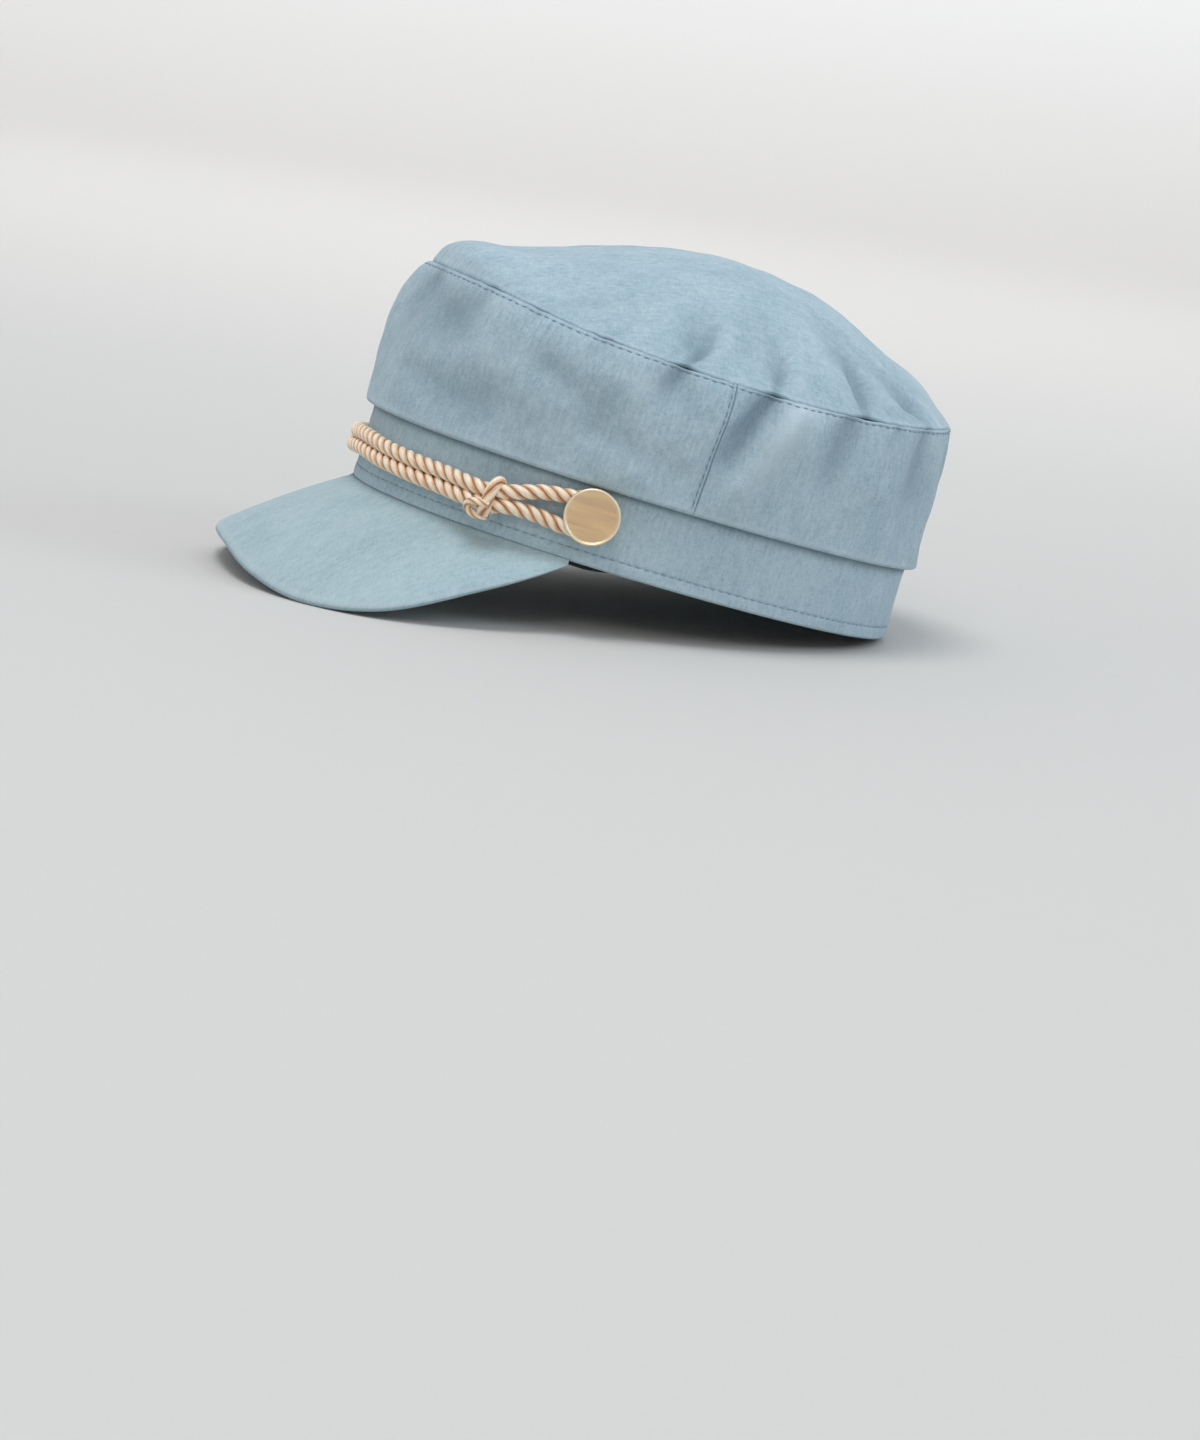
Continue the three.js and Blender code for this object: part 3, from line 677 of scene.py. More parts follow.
# share of the way from front to back, height above the seam
topRise = [(0, 0), (0.035, 10.8), (0.115, 16.2), (0.22, 24.0), (0.32, 31), (0.42, 36.2), (0.55, 38.6),
           (0.68, 34.7), (0.78, 26.6), (0.88, 16.3), (0.965, 5.9), (1, 0)]
# girth, inset, half-length inward, half-length round, depth
topDents = [(118, 0.84, 12, 6, 2.6), (153, 0.87, 10, 5, 2.4), (195, 0.84, 13, 7, 3.2),
            (228, 0.9, 9, 7, 1.8), (262, 0.82, 8, 16, -2.0), (-128, 0.85, 12, 7, 2.4),
            (-172, 0.86, 12, 7, 2.6), (-218, 0.85, 12, 7, 2.2)]
# the same as the wall's creases, but measured round and inward from the seam
topCreases = [(117, 0.5, 124, 16, 1.6, 4.8, 0.6), (112, 1, 117, 13, 1.6, 1.0, 0.6),
              (126, 2, 134, 20, 3.4, -1.2, 0.5), (151, 0.5, 157, 13, 1.5, 3.8, 0.6),
              (160, 2, 168, 16, 3.2, -1.1, 0.5), (190, 0.5, 199, 19, 2.3, 5.0, 0.5),
              (183, 3, 190, 18, 2.4, -1.3, 0.5), (204, 3.4, 218, 4.2, 1.7, 2.4, 0.2),
              (228, 0, 229, 9, 2.6, 1.9, 0.6), (138, 14, 146, 30, 5.5, 1.8, 0.6),
              (88, 0, 91, 9, 2.0, 1.5, 0.7), (64, 0, 66, 8, 1.7, 1.2, 0.7), (40, 0, 42, 8, 2.0, 1.2, 0.7),
              (180, 12, 168, 44, 6.0, -1.3, 0.6), (240, 1.5, 198, 42, 1.9, -3.8, 0.4),
              (226, 6, 198, 34, 4.2, 2.4, 0.5), (70, 10, 104, 30, 6.0, 1.2, 0.5),
              (60, 26, 96, 44, 7.0, -1.0, 0.4), (-74, 0, -76, 9, 2.2, 0.8, 0.7),
              (-118, 0, -122, 15, 2.6, 1.4, 0.6), (-172, 0, -175, 14, 3, 1.6, 0.6),
              (-218, 0, -220, 14, 3, 1.4, 0.6)]


def topDent(girth, inset):
    # how far the top is pushed down: bells for the soft dents, and the creases
    fromSeam = (1 - inset) * crown["seamHalfWidth"]
    dent = creased(girthBetween(0, girth), fromSeam, topCreases) * inset
    for place, level, inward, aside, depth in topDents:
        dent = dent + depth * (bell((level - inset) * crown["seamHalfWidth"], inward)
                               * bell(girthBetween(place, girth) * inset, aside))
    return dent


def topSurface(turn, inset):
    # the seam's oval shrunk by the inset; the rise follows the table along the middle line and falls
    # to the seam sideways
    edge = seamPoint(turn, np.zeros_like(turn))
    x = edge[..., 0] * inset
    y = (edge[..., 1] - crown["shiftBack"]) * inset + crown["shiftBack"]
    back = np.clip((y - crown["shiftBack"]) / crown["seamHalfLength"], -1, 1)
    power = headOval["power"]
    halfWidth = crown["seamHalfWidth"] * np.maximum(1 - np.abs(back) ** power, 1e-6) ** (1 / power)
    sideways = np.minimum(np.abs(x) / halfWidth, 1)
    rise = fromTable(topRise, (back + 1) / 2, 1) * (1 - sideways**2.2)
    girth = girthAt(turn)
    fromSeam = (1 - inset) * crown["seamHalfWidth"]
    dent = topDent(girth, inset) - 0.4 * rumple(x, y, 45, 11) - 0.12 * rumple(x, y, 15, 12)
    edgeLevel = seamLevel(y) + (edge[..., 2] - seamLevel(edge[..., 1])) * inset
    z = edgeLevel + 0.02 + rise - dent * smoothstep(fromSeam, 0.2, 9) - puckers(girth, fromSeam, 0.2)
    y = y - crown["topSwell"] * bell(fromSeam - 2.8, 2.6) * np.maximum(np.cos(turn), 0) ** 5
    return np.stack([x, y, z], axis=-1)


def makeTop():
    # rings from the seam inward, closed by a fan at the middle; the first ring is tucked under the seam
    fromSeam = np.concatenate([seam["fine"], np.linspace(5.2, 14, 9), np.linspace(15.6, 78, 38)])
    inset = 1 - fromSeam / crown["seamHalfWidth"]
    columns = crown["topColumns"]
    turn = turnAt(girthRound(columns))
    points = topSurface(*np.meshgrid(turn, inset))
    upward = unit(ovalNormal(turn) * 0.6 + np.array([0, 0, 0.8]))
    points = points + upward[None] * seamRelief(fromSeam, False)[:, None, None]
    tuck = points[0] - ovalNormal(turn) * 0.35 - np.array([0, 0, 0.7])
    points = np.concatenate([tuck[None], points])
    rows = len(points)
    faces, cornerRow, cornerColumn = gridFaces(rows, columns, roundColumns=True)
    uv = points[..., :2].reshape(-1, 2)[faces]
    pole = topSurface(np.zeros(1), np.zeros(1))[0]
    last = (rows - 1) * columns
    fan = [(last + j, last + (j + 1) % columns, rows * columns) for j in range(columns)]
    flat = np.concatenate([points.reshape(-1, 3), pole[None]])
    fanUv = np.array([[flat[corner, :2] for corner in face] for face in fan])
    away = np.concatenate([[-0.5], fromSeam])[:, None]
    # the marks: painted shade in the seam and in the folds; paler by the seam's roll where it is worn, and a
    # painted highlight on the ridges
    shown = seamShade(away, False) * uneven(girthAt(turn))[None]
    insetOn = np.concatenate([[1], inset])[:, None]
    creaseShade, ridgeHighlight = foldLighting(topDent(girthAt(turn)[None], insetOn))
    marks = {"wearAndHighlight": np.append(0.12 * bell(away - 0.7, 0.5) + ridgeHighlight, 0),
             "paintedShade": np.append(np.clip(shown + creaseShade, 0, 1), 0)}
    uvs = np.concatenate([uv.reshape(-1, 2), fanUv.reshape(-1, 2)])
    return addPiece("crown_top_cloth", flat, faces.tolist() + fan, uvs, crownCloth, "crown_cloth", marks,
                    crown["cloth"])


def makeCrown():
    gap, side = crown["seamGap"], crown["sideSeam"]
    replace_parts(makeTop(), "crown_top")
    front, stitches = makeWall("crown_front_cloth", -side + gap, side - gap, True, True)
    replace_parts(front, "crown_side_front")
    rear, rows = makeWall("crown_rear_cloth", side + gap, wholeGirth - side - gap, False, False)
    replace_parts(rear, "crown_side_rear")
    stitches += rows
    addPiece("crown_stitching", *joined(stitches), crownThread, "crown_cloth")


def makeThread(name, dark, pale):
    # sewing thread, mottled along its length
    material, tree, shader = newMaterial(name)
    twist = stretchedNoise(tree, threadUv(tree), (6.0, 2.0, 1), 2, 0.6)
    fillInputs(tree, shader, {"Base Color": mixColour(tree, twist, dark, pale),
                              "Roughness": calculate(tree, "MULTIPLY_ADD", twist, 0.3, 0.5)})
    return material


# both threads are a darker blue than the cloth, as painted shade of the pits the stitches sit in
crownThread = makeThread("crownThread", (0.11, 0.19, 0.26, 1), (0.24, 0.35, 0.43, 1))
bandThread = makeThread("bandThread", (0.18, 0.27, 0.34, 1), (0.31, 0.42, 0.5, 1))
makeCrown()
print("scene: crown made")

# Band and sweatband

band = {"height": 28.5, "wall": 2.0, "edgeRound": 0.95, "stitchUp": 4.6, "columns": 486}


def ringProfile(rows, outer, inner, low, high, edge):
    # a closed profile: up the outside, over, down the inside and under, with round corners
    quarter = np.radians(np.linspace(0, 90, 5))
    bottomOut = [(outer - edge + edge * math.sin(a), low + edge - edge * math.cos(a)) for a in quarter]
    outside = [(outer, z) for z in rows if low + edge < z < high - edge]
    topOut = [(outer - edge + edge * math.cos(a), high - edge + edge * math.sin(a)) for a in quarter]
    topIn = [(inner + edge - edge * math.sin(a), high - edge + edge * math.cos(a)) for a in quarter]
    inside = [(inner, z) for z in np.linspace(high - edge, low + edge, 12)[1:-1]]
    bottomIn = [(inner + edge - edge * math.cos(a), low + edge - edge * math.sin(a)) for a in quarter]
    return np.array(bottomOut + outside + topOut + topIn + inside + bottomIn)


def ringUv(profile, girth, cornerRow, cornerColumn):
    # along the girth and round the profile, both in mm
    around = lengthAlong(profile)
    u, v = np.meshgrid(np.append(girth, wholeGirth / 2), np.append(around, around[-1] + 0.4))
    return gridUv(cornerRow, cornerColumn, u, v)


def makeBand():
    # the profile run round the head, its outside moved out by the cloth's relief: broad and fine
    # rumples, a dip along the stitches with a roll below it, and gathers across that dip
    rows = np.unique(np.concatenate([np.linspace(1, 27.5, 26), band["stitchUp"] + np.linspace(-1.2, 1.2, 9)]))
    profile = ringProfile(rows, 0, -band["wall"], 0, band["height"], band["edgeRound"])
    girth = girthRound(band["columns"])
    offset, level = profile[:, :1], profile[:, 1:]
    outside = smoothstep(offset, -1.0, 0)
    up = level - band["stitchUp"]
    held = outside * smoothstep(level, 0.6, 3) * smoothstep(-level, -28.0, -26.0)
    broad, fine = rumple(girth[None], level, 30, 21), rumple(girth[None], level, 9, 22)
    gathers = np.sin(girth * 1.1 + 1.5 * np.sin(girth * 0.17))
    relief = held * (0.16 * broad + 0.07 * fine - 0.05)
    relief = relief - outside * (0.28 * bell(up, 0.45) - 0.16 * bell(level - 2.4, 1.5))
    relief = relief - outside * 0.1 * bell(up, 3.0) * gathers
    points = bandPoint(turnAt(girth)[None], offset + relief, level + 0 * girth[None])
    faces, cornerRow, cornerColumn = gridFaces(len(profile), band["columns"], True, True)
    uv = ringUv(profile, girth, cornerRow, cornerColumn)
    # painted shade on the outside: a little in the stitch groove, under the crown's overhanging fold, and
    # along the lower edge where it meets the peak; the lower edge is also paler where worn
    shadow = 0.75 * bell(level - 26.9, 1.5) + 0.45 * smoothstep(-level, -1.1, 0)
    paintedShade = outside * (0.12 * bell(up, 0.4) + shadow) + 0 * girth[None]
    wearAndHighlight = 0.2 * bell(level - 0.3, 0.8) + 0 * girth[None]
    made = addPiece("band_cloth", points.reshape(-1, 3), faces, uv, bandCloth, "band_cloth",
                    {"wearAndHighlight": wearAndHighlight, "paintedShade": paintedShade})
    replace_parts(made, "band")
    row = nearest(np.where(profile[:, 0] < -0.1, np.inf, profile[:, 1]), band["stitchUp"])
    loop = np.concatenate([points[row], points[row, :1]])
    normals = ovalNormal(turnAt(np.append(girth, wholeGirth / 2)))
    addPiece("band_stitching", *stitchRow(loop, normals), bandThread, "band_cloth")


def makeSweatband():
    # a thin ring inside the band, lowest over the peak
    sweat = {"outer": -2.4, "wall": 1.2, "top": 25.0, "dip": -1.5, "lift": 2.0, "edge": 0.5, "columns": 300}
    girth = girthRound(sweat["columns"])
    turn = turnAt(girth)
    inner = sweat["outer"] - sweat["wall"]
    profile = ringProfile(np.linspace(1, 24, 12), sweat["outer"], inner, 0, sweat["top"], sweat["edge"])
    past = math.radians(peak["halfTurn"])
    low = sweat["dip"] + sweat["lift"] * smoothstep(np.abs(turn), past + 0.05, past + 0.22)
    share = profile[:, 1:] / sweat["top"]
    level = low[None] * (1 - share) + profile[:, 1:]
    points = bandPoint(turn[None], profile[:, :1] + 0.06 * rumple(girth[None], level, 14, 31), level)
    faces, cornerRow, cornerColumn = gridFaces(len(profile), len(girth), True, True)
    uv = ringUv(profile, girth, cornerRow, cornerColumn)
    made = addPiece("sweatband_twill", points.reshape(-1, 3), faces, uv, blackTwill, "sweatband_cloth")
    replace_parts(made, "sweatband")


# Peak

peak = {"halfTurn": 65.9, "thick": 3.2, "endThin": 0.65, "edgeRound": 1.6, "hump": 1.8, "rootRise": 0.5,
        "margin": 2.0, "columns": 240}
# share of the way from the middle to the end, reach, drop
peakEdge = [(-1, 1.6, 0.6), (-0.8, 20, 14.6), (-0.6, 33.5, 29.4), (-0.4, 38.8, 33.6), (-0.2, 41, 30),
            (0, 40.9, 31), (0.2, 40.9, 35.5), (0.4, 39.5, 37.2), (0.6, 34, 30.9), (0.8, 19.8, 15.4),
            (1, 1.6, 0.6)]


def peakSurface(turn, out, under):
    # out along the level direction by a share of the reach, down by the same share of the drop, raised
    # by a hump, and rounded over at the edge
    share = turn / math.radians(peak["halfTurn"])
    reach, drop = fromTable(peakEdge, share, 1), fromTable(peakEdge, share, 2)
    outward = np.maximum(out, 0)
    humped = peak["hump"] * 4 * outward * (1 - outward) * (1 - share**4)
    fromEdge = np.minimum(reach * (1 - outward) / peak["edgeRound"], 1)
    rounding = np.where(out < 0, 0, 1 - np.sqrt(np.maximum(1 - (1 - fromEdge) ** 2, 0)))
    thick = peak["thick"] * (1 - peak["endThin"] * share**8)
    sideways = rounding * 0.5 * thick
    soft = 0.18 * rumple(turn * 90, outward * reach, 34, 41) * smoothstep(reach * outward, 0, 6) * (not under)
    offset = np.where(out < 0, out * peak["margin"], reach * out)
    root = peak["rootRise"] * smoothstep(offset, -0.45, 0.05) * bell(np.maximum(offset, 0), 1.1)
    level = -0.12 - drop * outward + humped + root + soft * smoothstep(reach * (1 - outward), 0, 4)
    return bandPoint(turn, offset, level - thick + sideways if under else level - sideways)


def makePeak():
    # the top and the under side as one grid closed round the outer edge, with one face at each end
    turn = np.linspace(-1, 1, peak["columns"]) * math.radians(peak["halfTurn"])
    near = 1 - np.array([0, 0.0006, 0.002, 0.005, 0.009, 0.014, 0.02, 0.028, 0.038])
    out = np.concatenate([near, np.linspace(0.94, 0.06, 34), [0.04, 0.025, 0.012, 0, -0.1, -0.22, -0.5, -1]])
    top = peakSurface(turn[None], out[:, None], False)
    under = peakSurface(turn[None], out[::-1, None], True)[:-1]
    points = np.concatenate([top, under])
    faces, cornerRow, cornerColumn = gridFaces(len(points), len(turn), roundRows=True)
    wrapped = np.concatenate([points, points[:1]])
    uv = gridUv(cornerRow, cornerColumn, wrapped[..., 0], -wrapped[..., 1])
    ends = [[j * len(turn) + column for j in range(len(points))][::way]
            for column, way in ((0, 1), (len(turn) - 1, -1))]
    endUv = [[wrapped[corner // len(turn), corner % len(turn), :2] for corner in end] for end in ends]
    edge = np.concatenate([out, out[::-1][:-1]])[:, None] + 0 * turn[None]
    lower = np.arange(len(points))[:, None] >= len(top)
    # painted shade: on the rim, along the underside's rounding and at the very edge, and where the peak meets
    # and runs under the band; the pale band just inside the edge is wear
    rim = 0.42 * np.where(lower, smoothstep(edge, 0.9, 0.97), smoothstep(edge, 0.997, 1))
    marks = {"wearAndHighlight": 0.25 * smoothstep(edge, 0.955, 0.98) * (1 - smoothstep(edge, 0.99, 1)),
             "paintedShade": 0.6 * smoothstep(-edge, -0.035, 0.01) + rim}
    uvs = np.concatenate([uv.reshape(-1, 2)] + [np.array(part) for part in endUv])
    made = addPiece("peak_cloth", points.reshape(-1, 3), faces.tolist() + ends, uvs, peakCloth, "peak_cloth",
                    marks)
    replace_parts(made, "peak")


makeBand()
makeSweatband()
makePeak()
print("scene: band, sweatband and peak made")

# Cord, knots and buttons

cord = {"radius": 2.5, "plyRadius": 1.36, "plyOut": 1.4, "lay": 14.2, "corners": 14, "step": 0.42,
        "clear": 0.6, "loop": 5.8}
plyForm = {"deep": 0.94, "wide": 1.08}
button = {"girth": 103.9, "height": 17.0, "radius": 9.7, "back": 5.9, "face": 7.8, "shank": 3.0,
          "corners": 96}
# girth, height of the upper strand, height of the lower one, how far their middle stands off the band
cordRoute = [(0, 16.8, 11.8, 2.9), (20, 15.9, 10.9, 2.9), (38, 15.4, 10.4, 2.9), (53, 15.3, 10.2, 3.6),
             (62, 15, 9.9, 6), (70, 14.9, 9.9, 6.8), (78, 17, 11.6, 5.4), (86.5, 19.8, 11.7, 3.3),
             (95.5, 21.2, 10.8, 2.9)]


def smoothCurve(points, closed, fine=24):
    # a curve through the points whose speed follows the square root of their distances
    p = np.asarray(points, float)
    before, after = (p[-1:], p[:2]) if closed else (2 * p[:1] - p[1:2], 2 * p[-1:] - p[-2:-1])
    p = np.concatenate([before, p, after])
    gaps = np.sqrt(np.linalg.norm(np.diff(p, axis=0), axis=1))
    pieces = []
    for i in range(1, len(p) - 2):
        t0, t1, t2, t3 = np.cumsum([0, gaps[i - 1], gaps[i], gaps[i + 1]])
        t = np.linspace(t1, t2, fine, endpoint=False)[:, None]
        a1 = (t1 - t) / (t1 - t0) * p[i - 1] + (t - t0) / (t1 - t0) * p[i]
        a2 = (t2 - t) / (t2 - t1) * p[i] + (t - t1) / (t2 - t1) * p[i + 1]
        a3 = (t3 - t) / (t3 - t2) * p[i + 1] + (t - t2) / (t3 - t2) * p[i + 2]
        b1 = (t2 - t) / (t2 - t0) * a1 + (t - t0) / (t2 - t0) * a2
        b2 = (t3 - t) / (t3 - t1) * a2 + (t - t1) / (t3 - t1) * a3
        pieces.append((t2 - t) / (t2 - t1) * b1 + (t - t1) / (t2 - t1) * b2)
    line = np.concatenate(pieces)
    return line if closed else np.concatenate([line, p[-2:-1]])


def evenPath(line, outs, step, closed):
    # the line and its outward directions at even steps
    if closed:
        line, outs = np.concatenate([line, line[:1]]), np.concatenate([outs, outs[:1]])
    length = lengthAlong(line)
    places = np.linspace(0, length[-1], int(length[-1] / step), endpoint=not closed)
    path, out = sampleLine(length, line, places), sampleLine(length, outs, places)
    return path, out, places, length[-1]


def wayAlong(path, closed):
    # the direction from the point before each point to the one after it
    if closed:
        return unit(np.roll(path, -1, axis=0) - np.roll(path, 1, axis=0))
    return unit(np.gradient(path, axis=0))


def plies(path, out, places, total, closed, shape, phase=0.0):
    # three tubes wound round the path as a right-handed screw; corner 0 of each faces away from the path
    ahead = wayAlong(path, closed)
    out = unit(out - np.sum(out * ahead, axis=1, keepdims=True) * ahead)
    side = np.cross(ahead, out)
    turns = max(round(total / shape["lay"]), 1) if closed else total / shape["lay"]
    corner = circle(shape["corners"])
    deep, wide = plyForm["deep"] * np.cos(corner)[:, None], plyForm["wide"] * np.sin(corner)[:, None]
    parts, crowns = [], []
    for ply in range(3):
        angle = 2 * math.pi * (turns * places / total + ply / 3) + phase
        away = out * np.cos(angle)[:, None] + side * np.sin(angle)[:, None]
        middle = path + away * shape["plyOut"]
        plyAhead = wayAlong(middle, closed)
        away = unit(away - np.sum(away * plyAhead, axis=1, keepdims=True) * plyAhead)
        aside = np.cross(plyAhead, away)
        points = middle[:, None] + (away[:, None] * deep + aside[:, None] * wide) * shape["plyRadius"]
        faces, cornerRow, cornerColumn = gridFaces(len(path), shape["corners"], closed, True)
        uv = np.stack([cornerColumn / shape["corners"], cornerRow * total / len(path)], axis=-1)
        parts.append((points.reshape(-1, 3), faces, uv))
        # the crown mark is 1 on the side of a ply facing away from the cord's middle and 0 on the side facing
        # it; it places the painted highlight and painted shade
        crowns.append(np.broadcast_to(0.5 + 0.5 * np.cos(corner), points.shape[:2]).ravel())
    return parts, crowns


def bandPath(rows, closed):
    # a smooth curve through rows of girth, distance off the band and height
    rows = np.array(rows, float)
    return smoothCurve(bandPoint(turnAt(rows[:, 0]), rows[:, 1], rows[:, 2]), closed)


def outAt(line):
    # the band's outward direction at the nearest turn of each point
    turn = np.arctan2(line[:, 0] / headOval["halfWidth"], -line[:, 1] / headOval["halfLength"])
    return ovalNormal(turn)


def makeCord():
    # one closed loop: the upper strand, round one button, the lower strand back, round the other
    half = [(row[0], row[3], row[1], row[2]) for row in cordRoute]
    stand = cord["radius"] + cord["clear"]
    arc = np.radians([90, 62, 38, 16, 0, -16, -38, -62, -90])
    bend = [(button["girth"] + cord["loop"] * math.cos(a), stand,
             button["height"] + cord["loop"] * math.sin(a)) for a in arc]
    upper = [(-g, o, u) for g, o, u, _ in reversed(half[1:])] + [(g, o, u) for g, o, u, _ in half]
    lower = [(g, o, w) for g, o, _, w in reversed(half[1:])] + [(-g, o, w) for g, o, _, w in half]
    rows = upper + bend + lower + [(-g, o, h) for g, o, h in reversed(bend)]
    line = bandPath(rows, True)
    path, out, places, total = evenPath(line, outAt(line), cord["step"], True)
    parts, crowns = plies(path, out, places, total, True, cord)
    made = addPiece("cord_strands", *joined(parts), cordYarn, "cord_yarn", {"crown": np.concatenate(crowns)})
    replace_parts(made, "cord_upper", "cord_lower")
    print("scene: cord loop is", round(total), "mm long")


def knotPart(side, rows, outs, shape, phase):
    # a short length of cord through places on the band: girth, distance off the band, height
    line = bandPath(rows * np.array([side, 1, 1]), False)
    middle = bandPath(outs * np.array([side, 1, 1]), False)
    path, out, places, total = evenPath(line, unit(line - middle), shape["step"], False)
    return plies(path, out, places, total, False, shape, phase)


def makeKnot(name, side):
    # one slanted turn of cord round both strands, with its ends behind them, and a small curl of its
    # tail at the low end
    wrap = {"girth": 71.4, "slant": 0.5, "pitch": 1.2, "square": 0.8, "deep": 3.2, "plyRadius": 1.3,
            "plyOut": 1.0, "lay": 22.0, "corners": 12, "step": 0.35}
    tail = dict(wrap, plyRadius=0.8, plyOut=0.5, lay=12.0)
    tailRoute = np.array([(72.4, 10.6, 10.5), (70.2, 11.6, 10.4), (68, 11.7, 10.3), (66, 11, 9.3),
                          (65.4, 9.9, 7.6), (66.9, 9.2, 6), (69.6, 8.8, 5.6), (72.2, 8.2, 6.4)])
    degrees = np.linspace(-174, 174, 25)
    angle = np.radians(degrees)
    place = wrap["girth"] + wrap["slant"] * np.sin(angle) + wrap["pitch"] * degrees / 360
    upper, lower, stand = (fromTable(cordRoute, place, column) for column in (1, 2, 3))
    middle, reach = (upper + lower) / 2, (upper - lower) / 2 + wrap["deep"]
    depth = wrap["deep"] * signedPower(np.cos(angle), wrap["square"])
    level = middle + reach * signedPower(np.sin(angle), wrap["square"])
    rows = np.stack([place, stand + depth, level], axis=-1)
    outs = np.stack([place, stand, middle], axis=-1)
    parts, crowns = knotPart(side, rows, outs, wrap, 0.6)
    tailParts, tailCrowns = knotPart(side, tailRoute, tailRoute - np.array([0, 2, 0]), tail, 0.2)
    made = addPiece(name + "_wrap", *joined(parts + tailParts), cordYarn, "cord_yarn",
                    {"crown": np.concatenate(crowns + tailCrowns)})
    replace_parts(made, name)


def makeButton(name, side):
    # a lathe: shank, back, a bead of a rim, a step down to a face that is very slightly domed
    r, b, f = button["radius"], button["back"], button["face"]
    bead = {"out": 0.45, "in": 0.5, "high": 0.42}
    top = r - bead["out"]
    quarter = np.radians(np.linspace(0, 90, 5))
    rim = [(top + bead["out"] * math.cos(a), f + bead["high"] * math.sin(a)) for a in quarter]
    inner = [(top - bead["in"] * math.sin(a), f + bead["high"] * math.cos(a)) for a in quarter[1:]]
    face = [(r - 1.2, f - 0.06), (r - 1.6, f), (r * 0.6, f + 0.03), (r * 0.3, f + 0.05), (0.05, f + 0.05)]
    profile = [(0.05, 0.3), (button["shank"], 0.3), (button["shank"], b), (r - 0.5, b), (r - 0.15, b + 0.15),
               (r, b + 0.5), (r, f - 0.3)] + rim + inner + face
    profile = np.array(profile)
    turn = turnAt(np.array([side * button["girth"]]))
    out = ovalNormal(turn)[0]
    level = np.cross([0, 0, 1], out)
    corner = circle(button["corners"])
    across = level * np.cos(corner)[:, None] + np.array([0, 0, 1]) * np.sin(corner)[:, None]
    base = bandPoint(turn, 0, button["height"])[0]
    points = base + across[None] * profile[:, :1, None] + out * profile[:, 1:, None]
    faces, _, _ = gridFaces(len(profile), button["corners"], roundColumns=True)
    flat = profile[:, :1, None] * np.stack([np.cos(corner), np.sin(corner)], axis=-1)
    flat = flat.reshape(-1, 2)
    caps = [list(range(len(corner)))[::-1], list(range(len(flat) - len(corner), len(flat)))]
    uv = np.concatenate([flat[faces].reshape(-1, 2)] + [flat[cap] for cap in caps])
    onRim = bell(profile[:, :1] - (r - 0.5), 0.6) * (profile[:, 1:] > b + 0.3) + 0 * corner[None]
    made = addPiece(name + "_brass", points.reshape(-1, 3), faces.tolist() + caps, uv, buttonBrass,
                    "button_brass", {"rim": onRim})
    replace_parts(made, name)


makeCord()
for name, side in (("knot_left", 1), ("knot_right", -1)):
    makeKnot(name, side)
for name, side in (("button_left", 1), ("button_right", -1)):
    makeButton(name, side)
print("scene: cord, knots and buttons made")

# Stage, light and camera


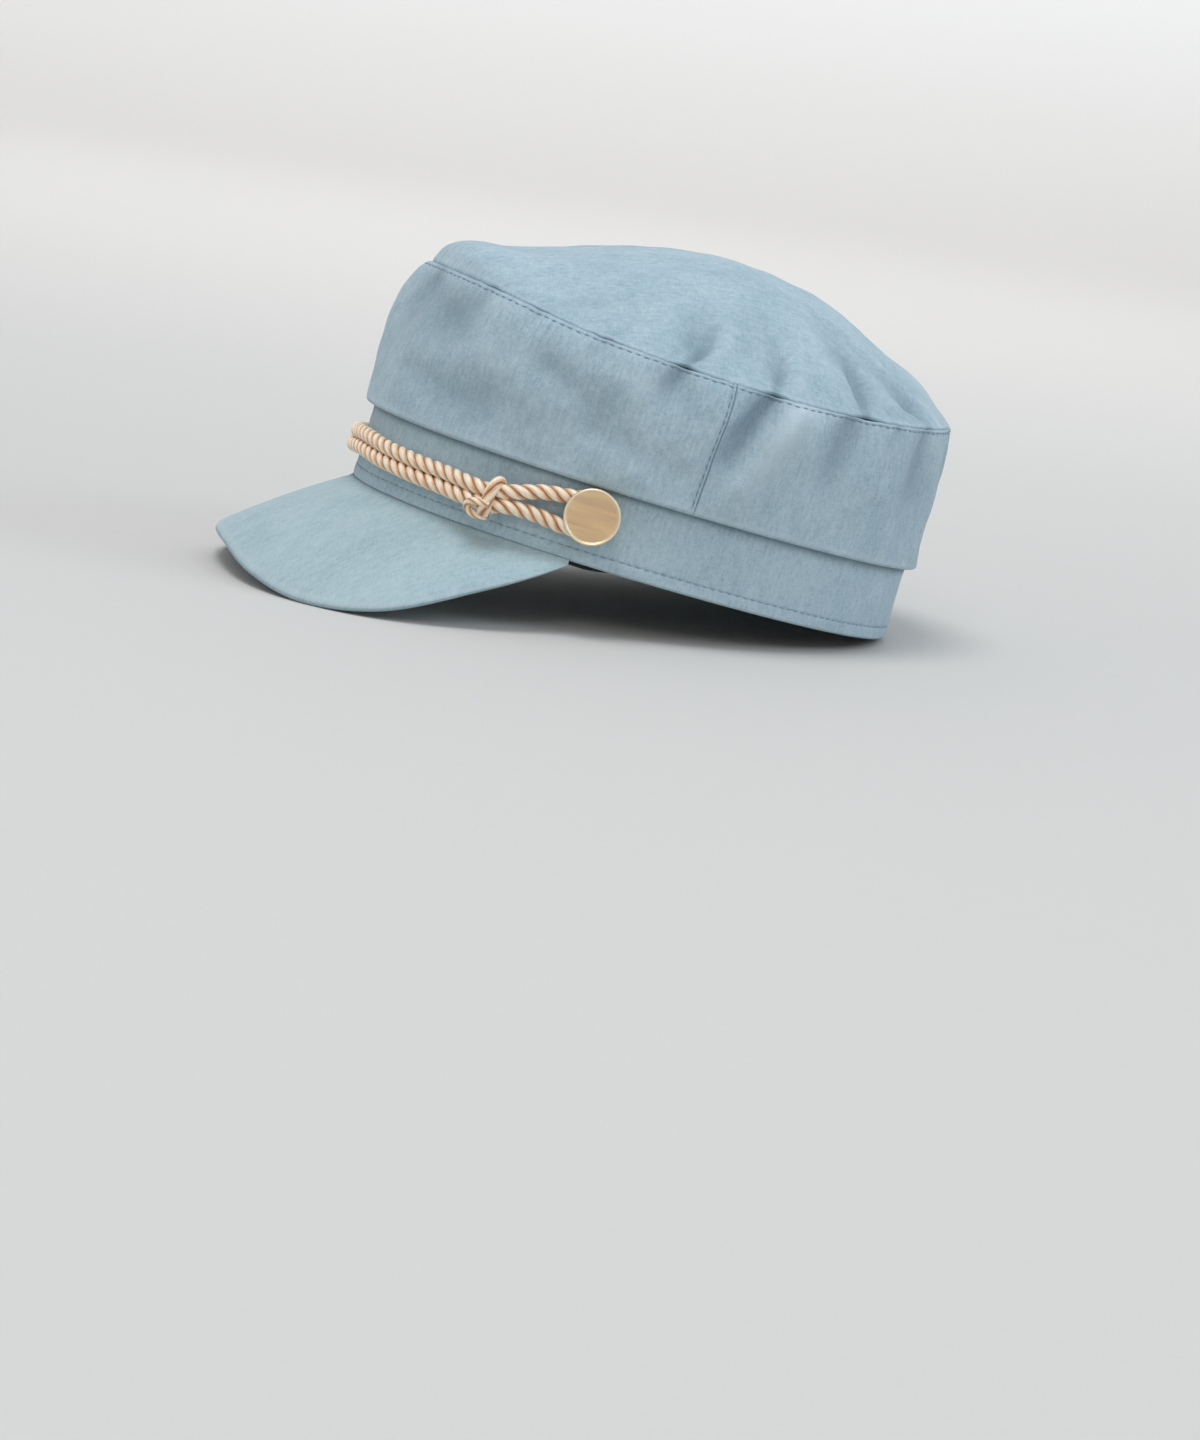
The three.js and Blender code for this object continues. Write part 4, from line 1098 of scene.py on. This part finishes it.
def makeStage():
    # a pale floor that curves up into a wall all round, the wall painted paler toward its top as painted
    # light
    sweep = {"floor": 2.6, "curve": 1.4, "wall": 1.6, "corners": 96}
    profile = [(0.0, 0.0), (0.5, 0.0), (1.2, 0.0)]
    for a in np.radians(np.linspace(0, 90, 16)):
        outward, up = sweep["curve"] * math.sin(a), sweep["curve"] * (1 - math.cos(a))
        profile.append((sweep["floor"] + outward, up))
    profile.append((sweep["floor"] + sweep["curve"], sweep["curve"] + sweep["wall"]))
    profile = np.array(profile)
    corner = circle(sweep["corners"])
    points = np.stack([profile[:, :1] * np.cos(corner), profile[:, :1] * np.sin(corner),
                       profile[:, 1:] + 0 * corner], axis=-1)
    faces, _, _ = gridFaces(len(profile), sweep["corners"], roundColumns=True)
    mesh = bpy.data.meshes.new("sweep")
    mesh.from_pydata(points.reshape(-1, 3).tolist(), [], faces[:, ::-1].tolist())
    mesh.polygons.foreach_set("use_smooth", [True] * len(mesh.polygons))
    material, tree, shader = newMaterial("sweepPaper")
    where = addNode(tree, "ShaderNodeTexCoord").outputs["Object"]
    grain = addNode(tree, "ShaderNodeTexNoise", {"Scale": 1.2, "Detail": 2.0, "Vector": where}).outputs[0]
    colour = mixColour(tree, grain, (0.63, 0.612, 0.585, 1), (0.65, 0.634, 0.61, 1))
    # painted light: the paper is mixed toward near white up to half a metre high, lifting the wall that the
    # lamps leave in shade
    height = addNode(tree, "ShaderNodeSeparateXYZ", {0: where}).outputs[2]
    lift = addNode(tree, "ShaderNodeMapRange", {0: height, 1: 0.0, 2: 0.5}).outputs[0]
    colour = mixColour(tree, lift, colour, (0.95, 0.945, 0.94, 1))
    fillInputs(tree, shader, {"Base Color": colour, "Roughness": 0.9})
    mesh.materials.append(material)
    floor = bpy.data.objects.new("sweep", mesh)
    bpy.context.collection.objects.link(floor)


def addLight(name, place, target, size, power, colour):
    # a round lamp that faces the target and isn't seen by the camera
    data = bpy.data.lights.new(name, "AREA")
    data.shape = "DISK"
    data.size = size
    data.energy = power
    data.color = colour
    light = bpy.data.objects.new(name, data)
    back = unit(np.array(place, float) - np.array(target, float))
    right = unit(np.cross([0, 0, 1], back) if abs(back[2]) < 0.99 else np.array([1.0, 0, 0]))
    pose = np.eye(4)
    pose[:3, :3] = np.stack([right, np.cross(back, right), back], axis=1)
    pose[:3, 3] = place
    light.matrix_world = Matrix(pose.tolist())
    light.visible_camera = False
    bpy.context.collection.objects.link(light)


def makeLight():
    middle = (0, 0, 0.06)
    addLight("overhead", (0.3, -0.5, 2.4), middle, 1.1, 24, (0.95, 0.98, 1.0))
    addLight("window", (2.0, -0.9, 1.5), middle, 0.8, 5.8, (1.0, 0.94, 0.86))
    addLight("rearSky", (1.1, 2.1, 1.4), middle, 1.0, 14, (0.68, 0.84, 1.0))
    addLight("backdrop", (-1.4, 0.3, 2.1), (-3.8, 1.3, 0.5), 1.5, 32, (1.0, 0.99, 0.98))
    world = bpy.data.worlds.new("world")
    world.use_nodes = True
    world.node_tree.nodes["Background"].inputs[0].default_value = (0.9, 0.94, 1.0, 1)
    world.node_tree.nodes["Background"].inputs[1].default_value = 0.575
    bpy.context.scene.world = world
    bpy.context.scene.view_settings.view_transform = "Standard"


makeStage()
makeLight()
placeCamera()
print("scene: stage, light and camera placed")
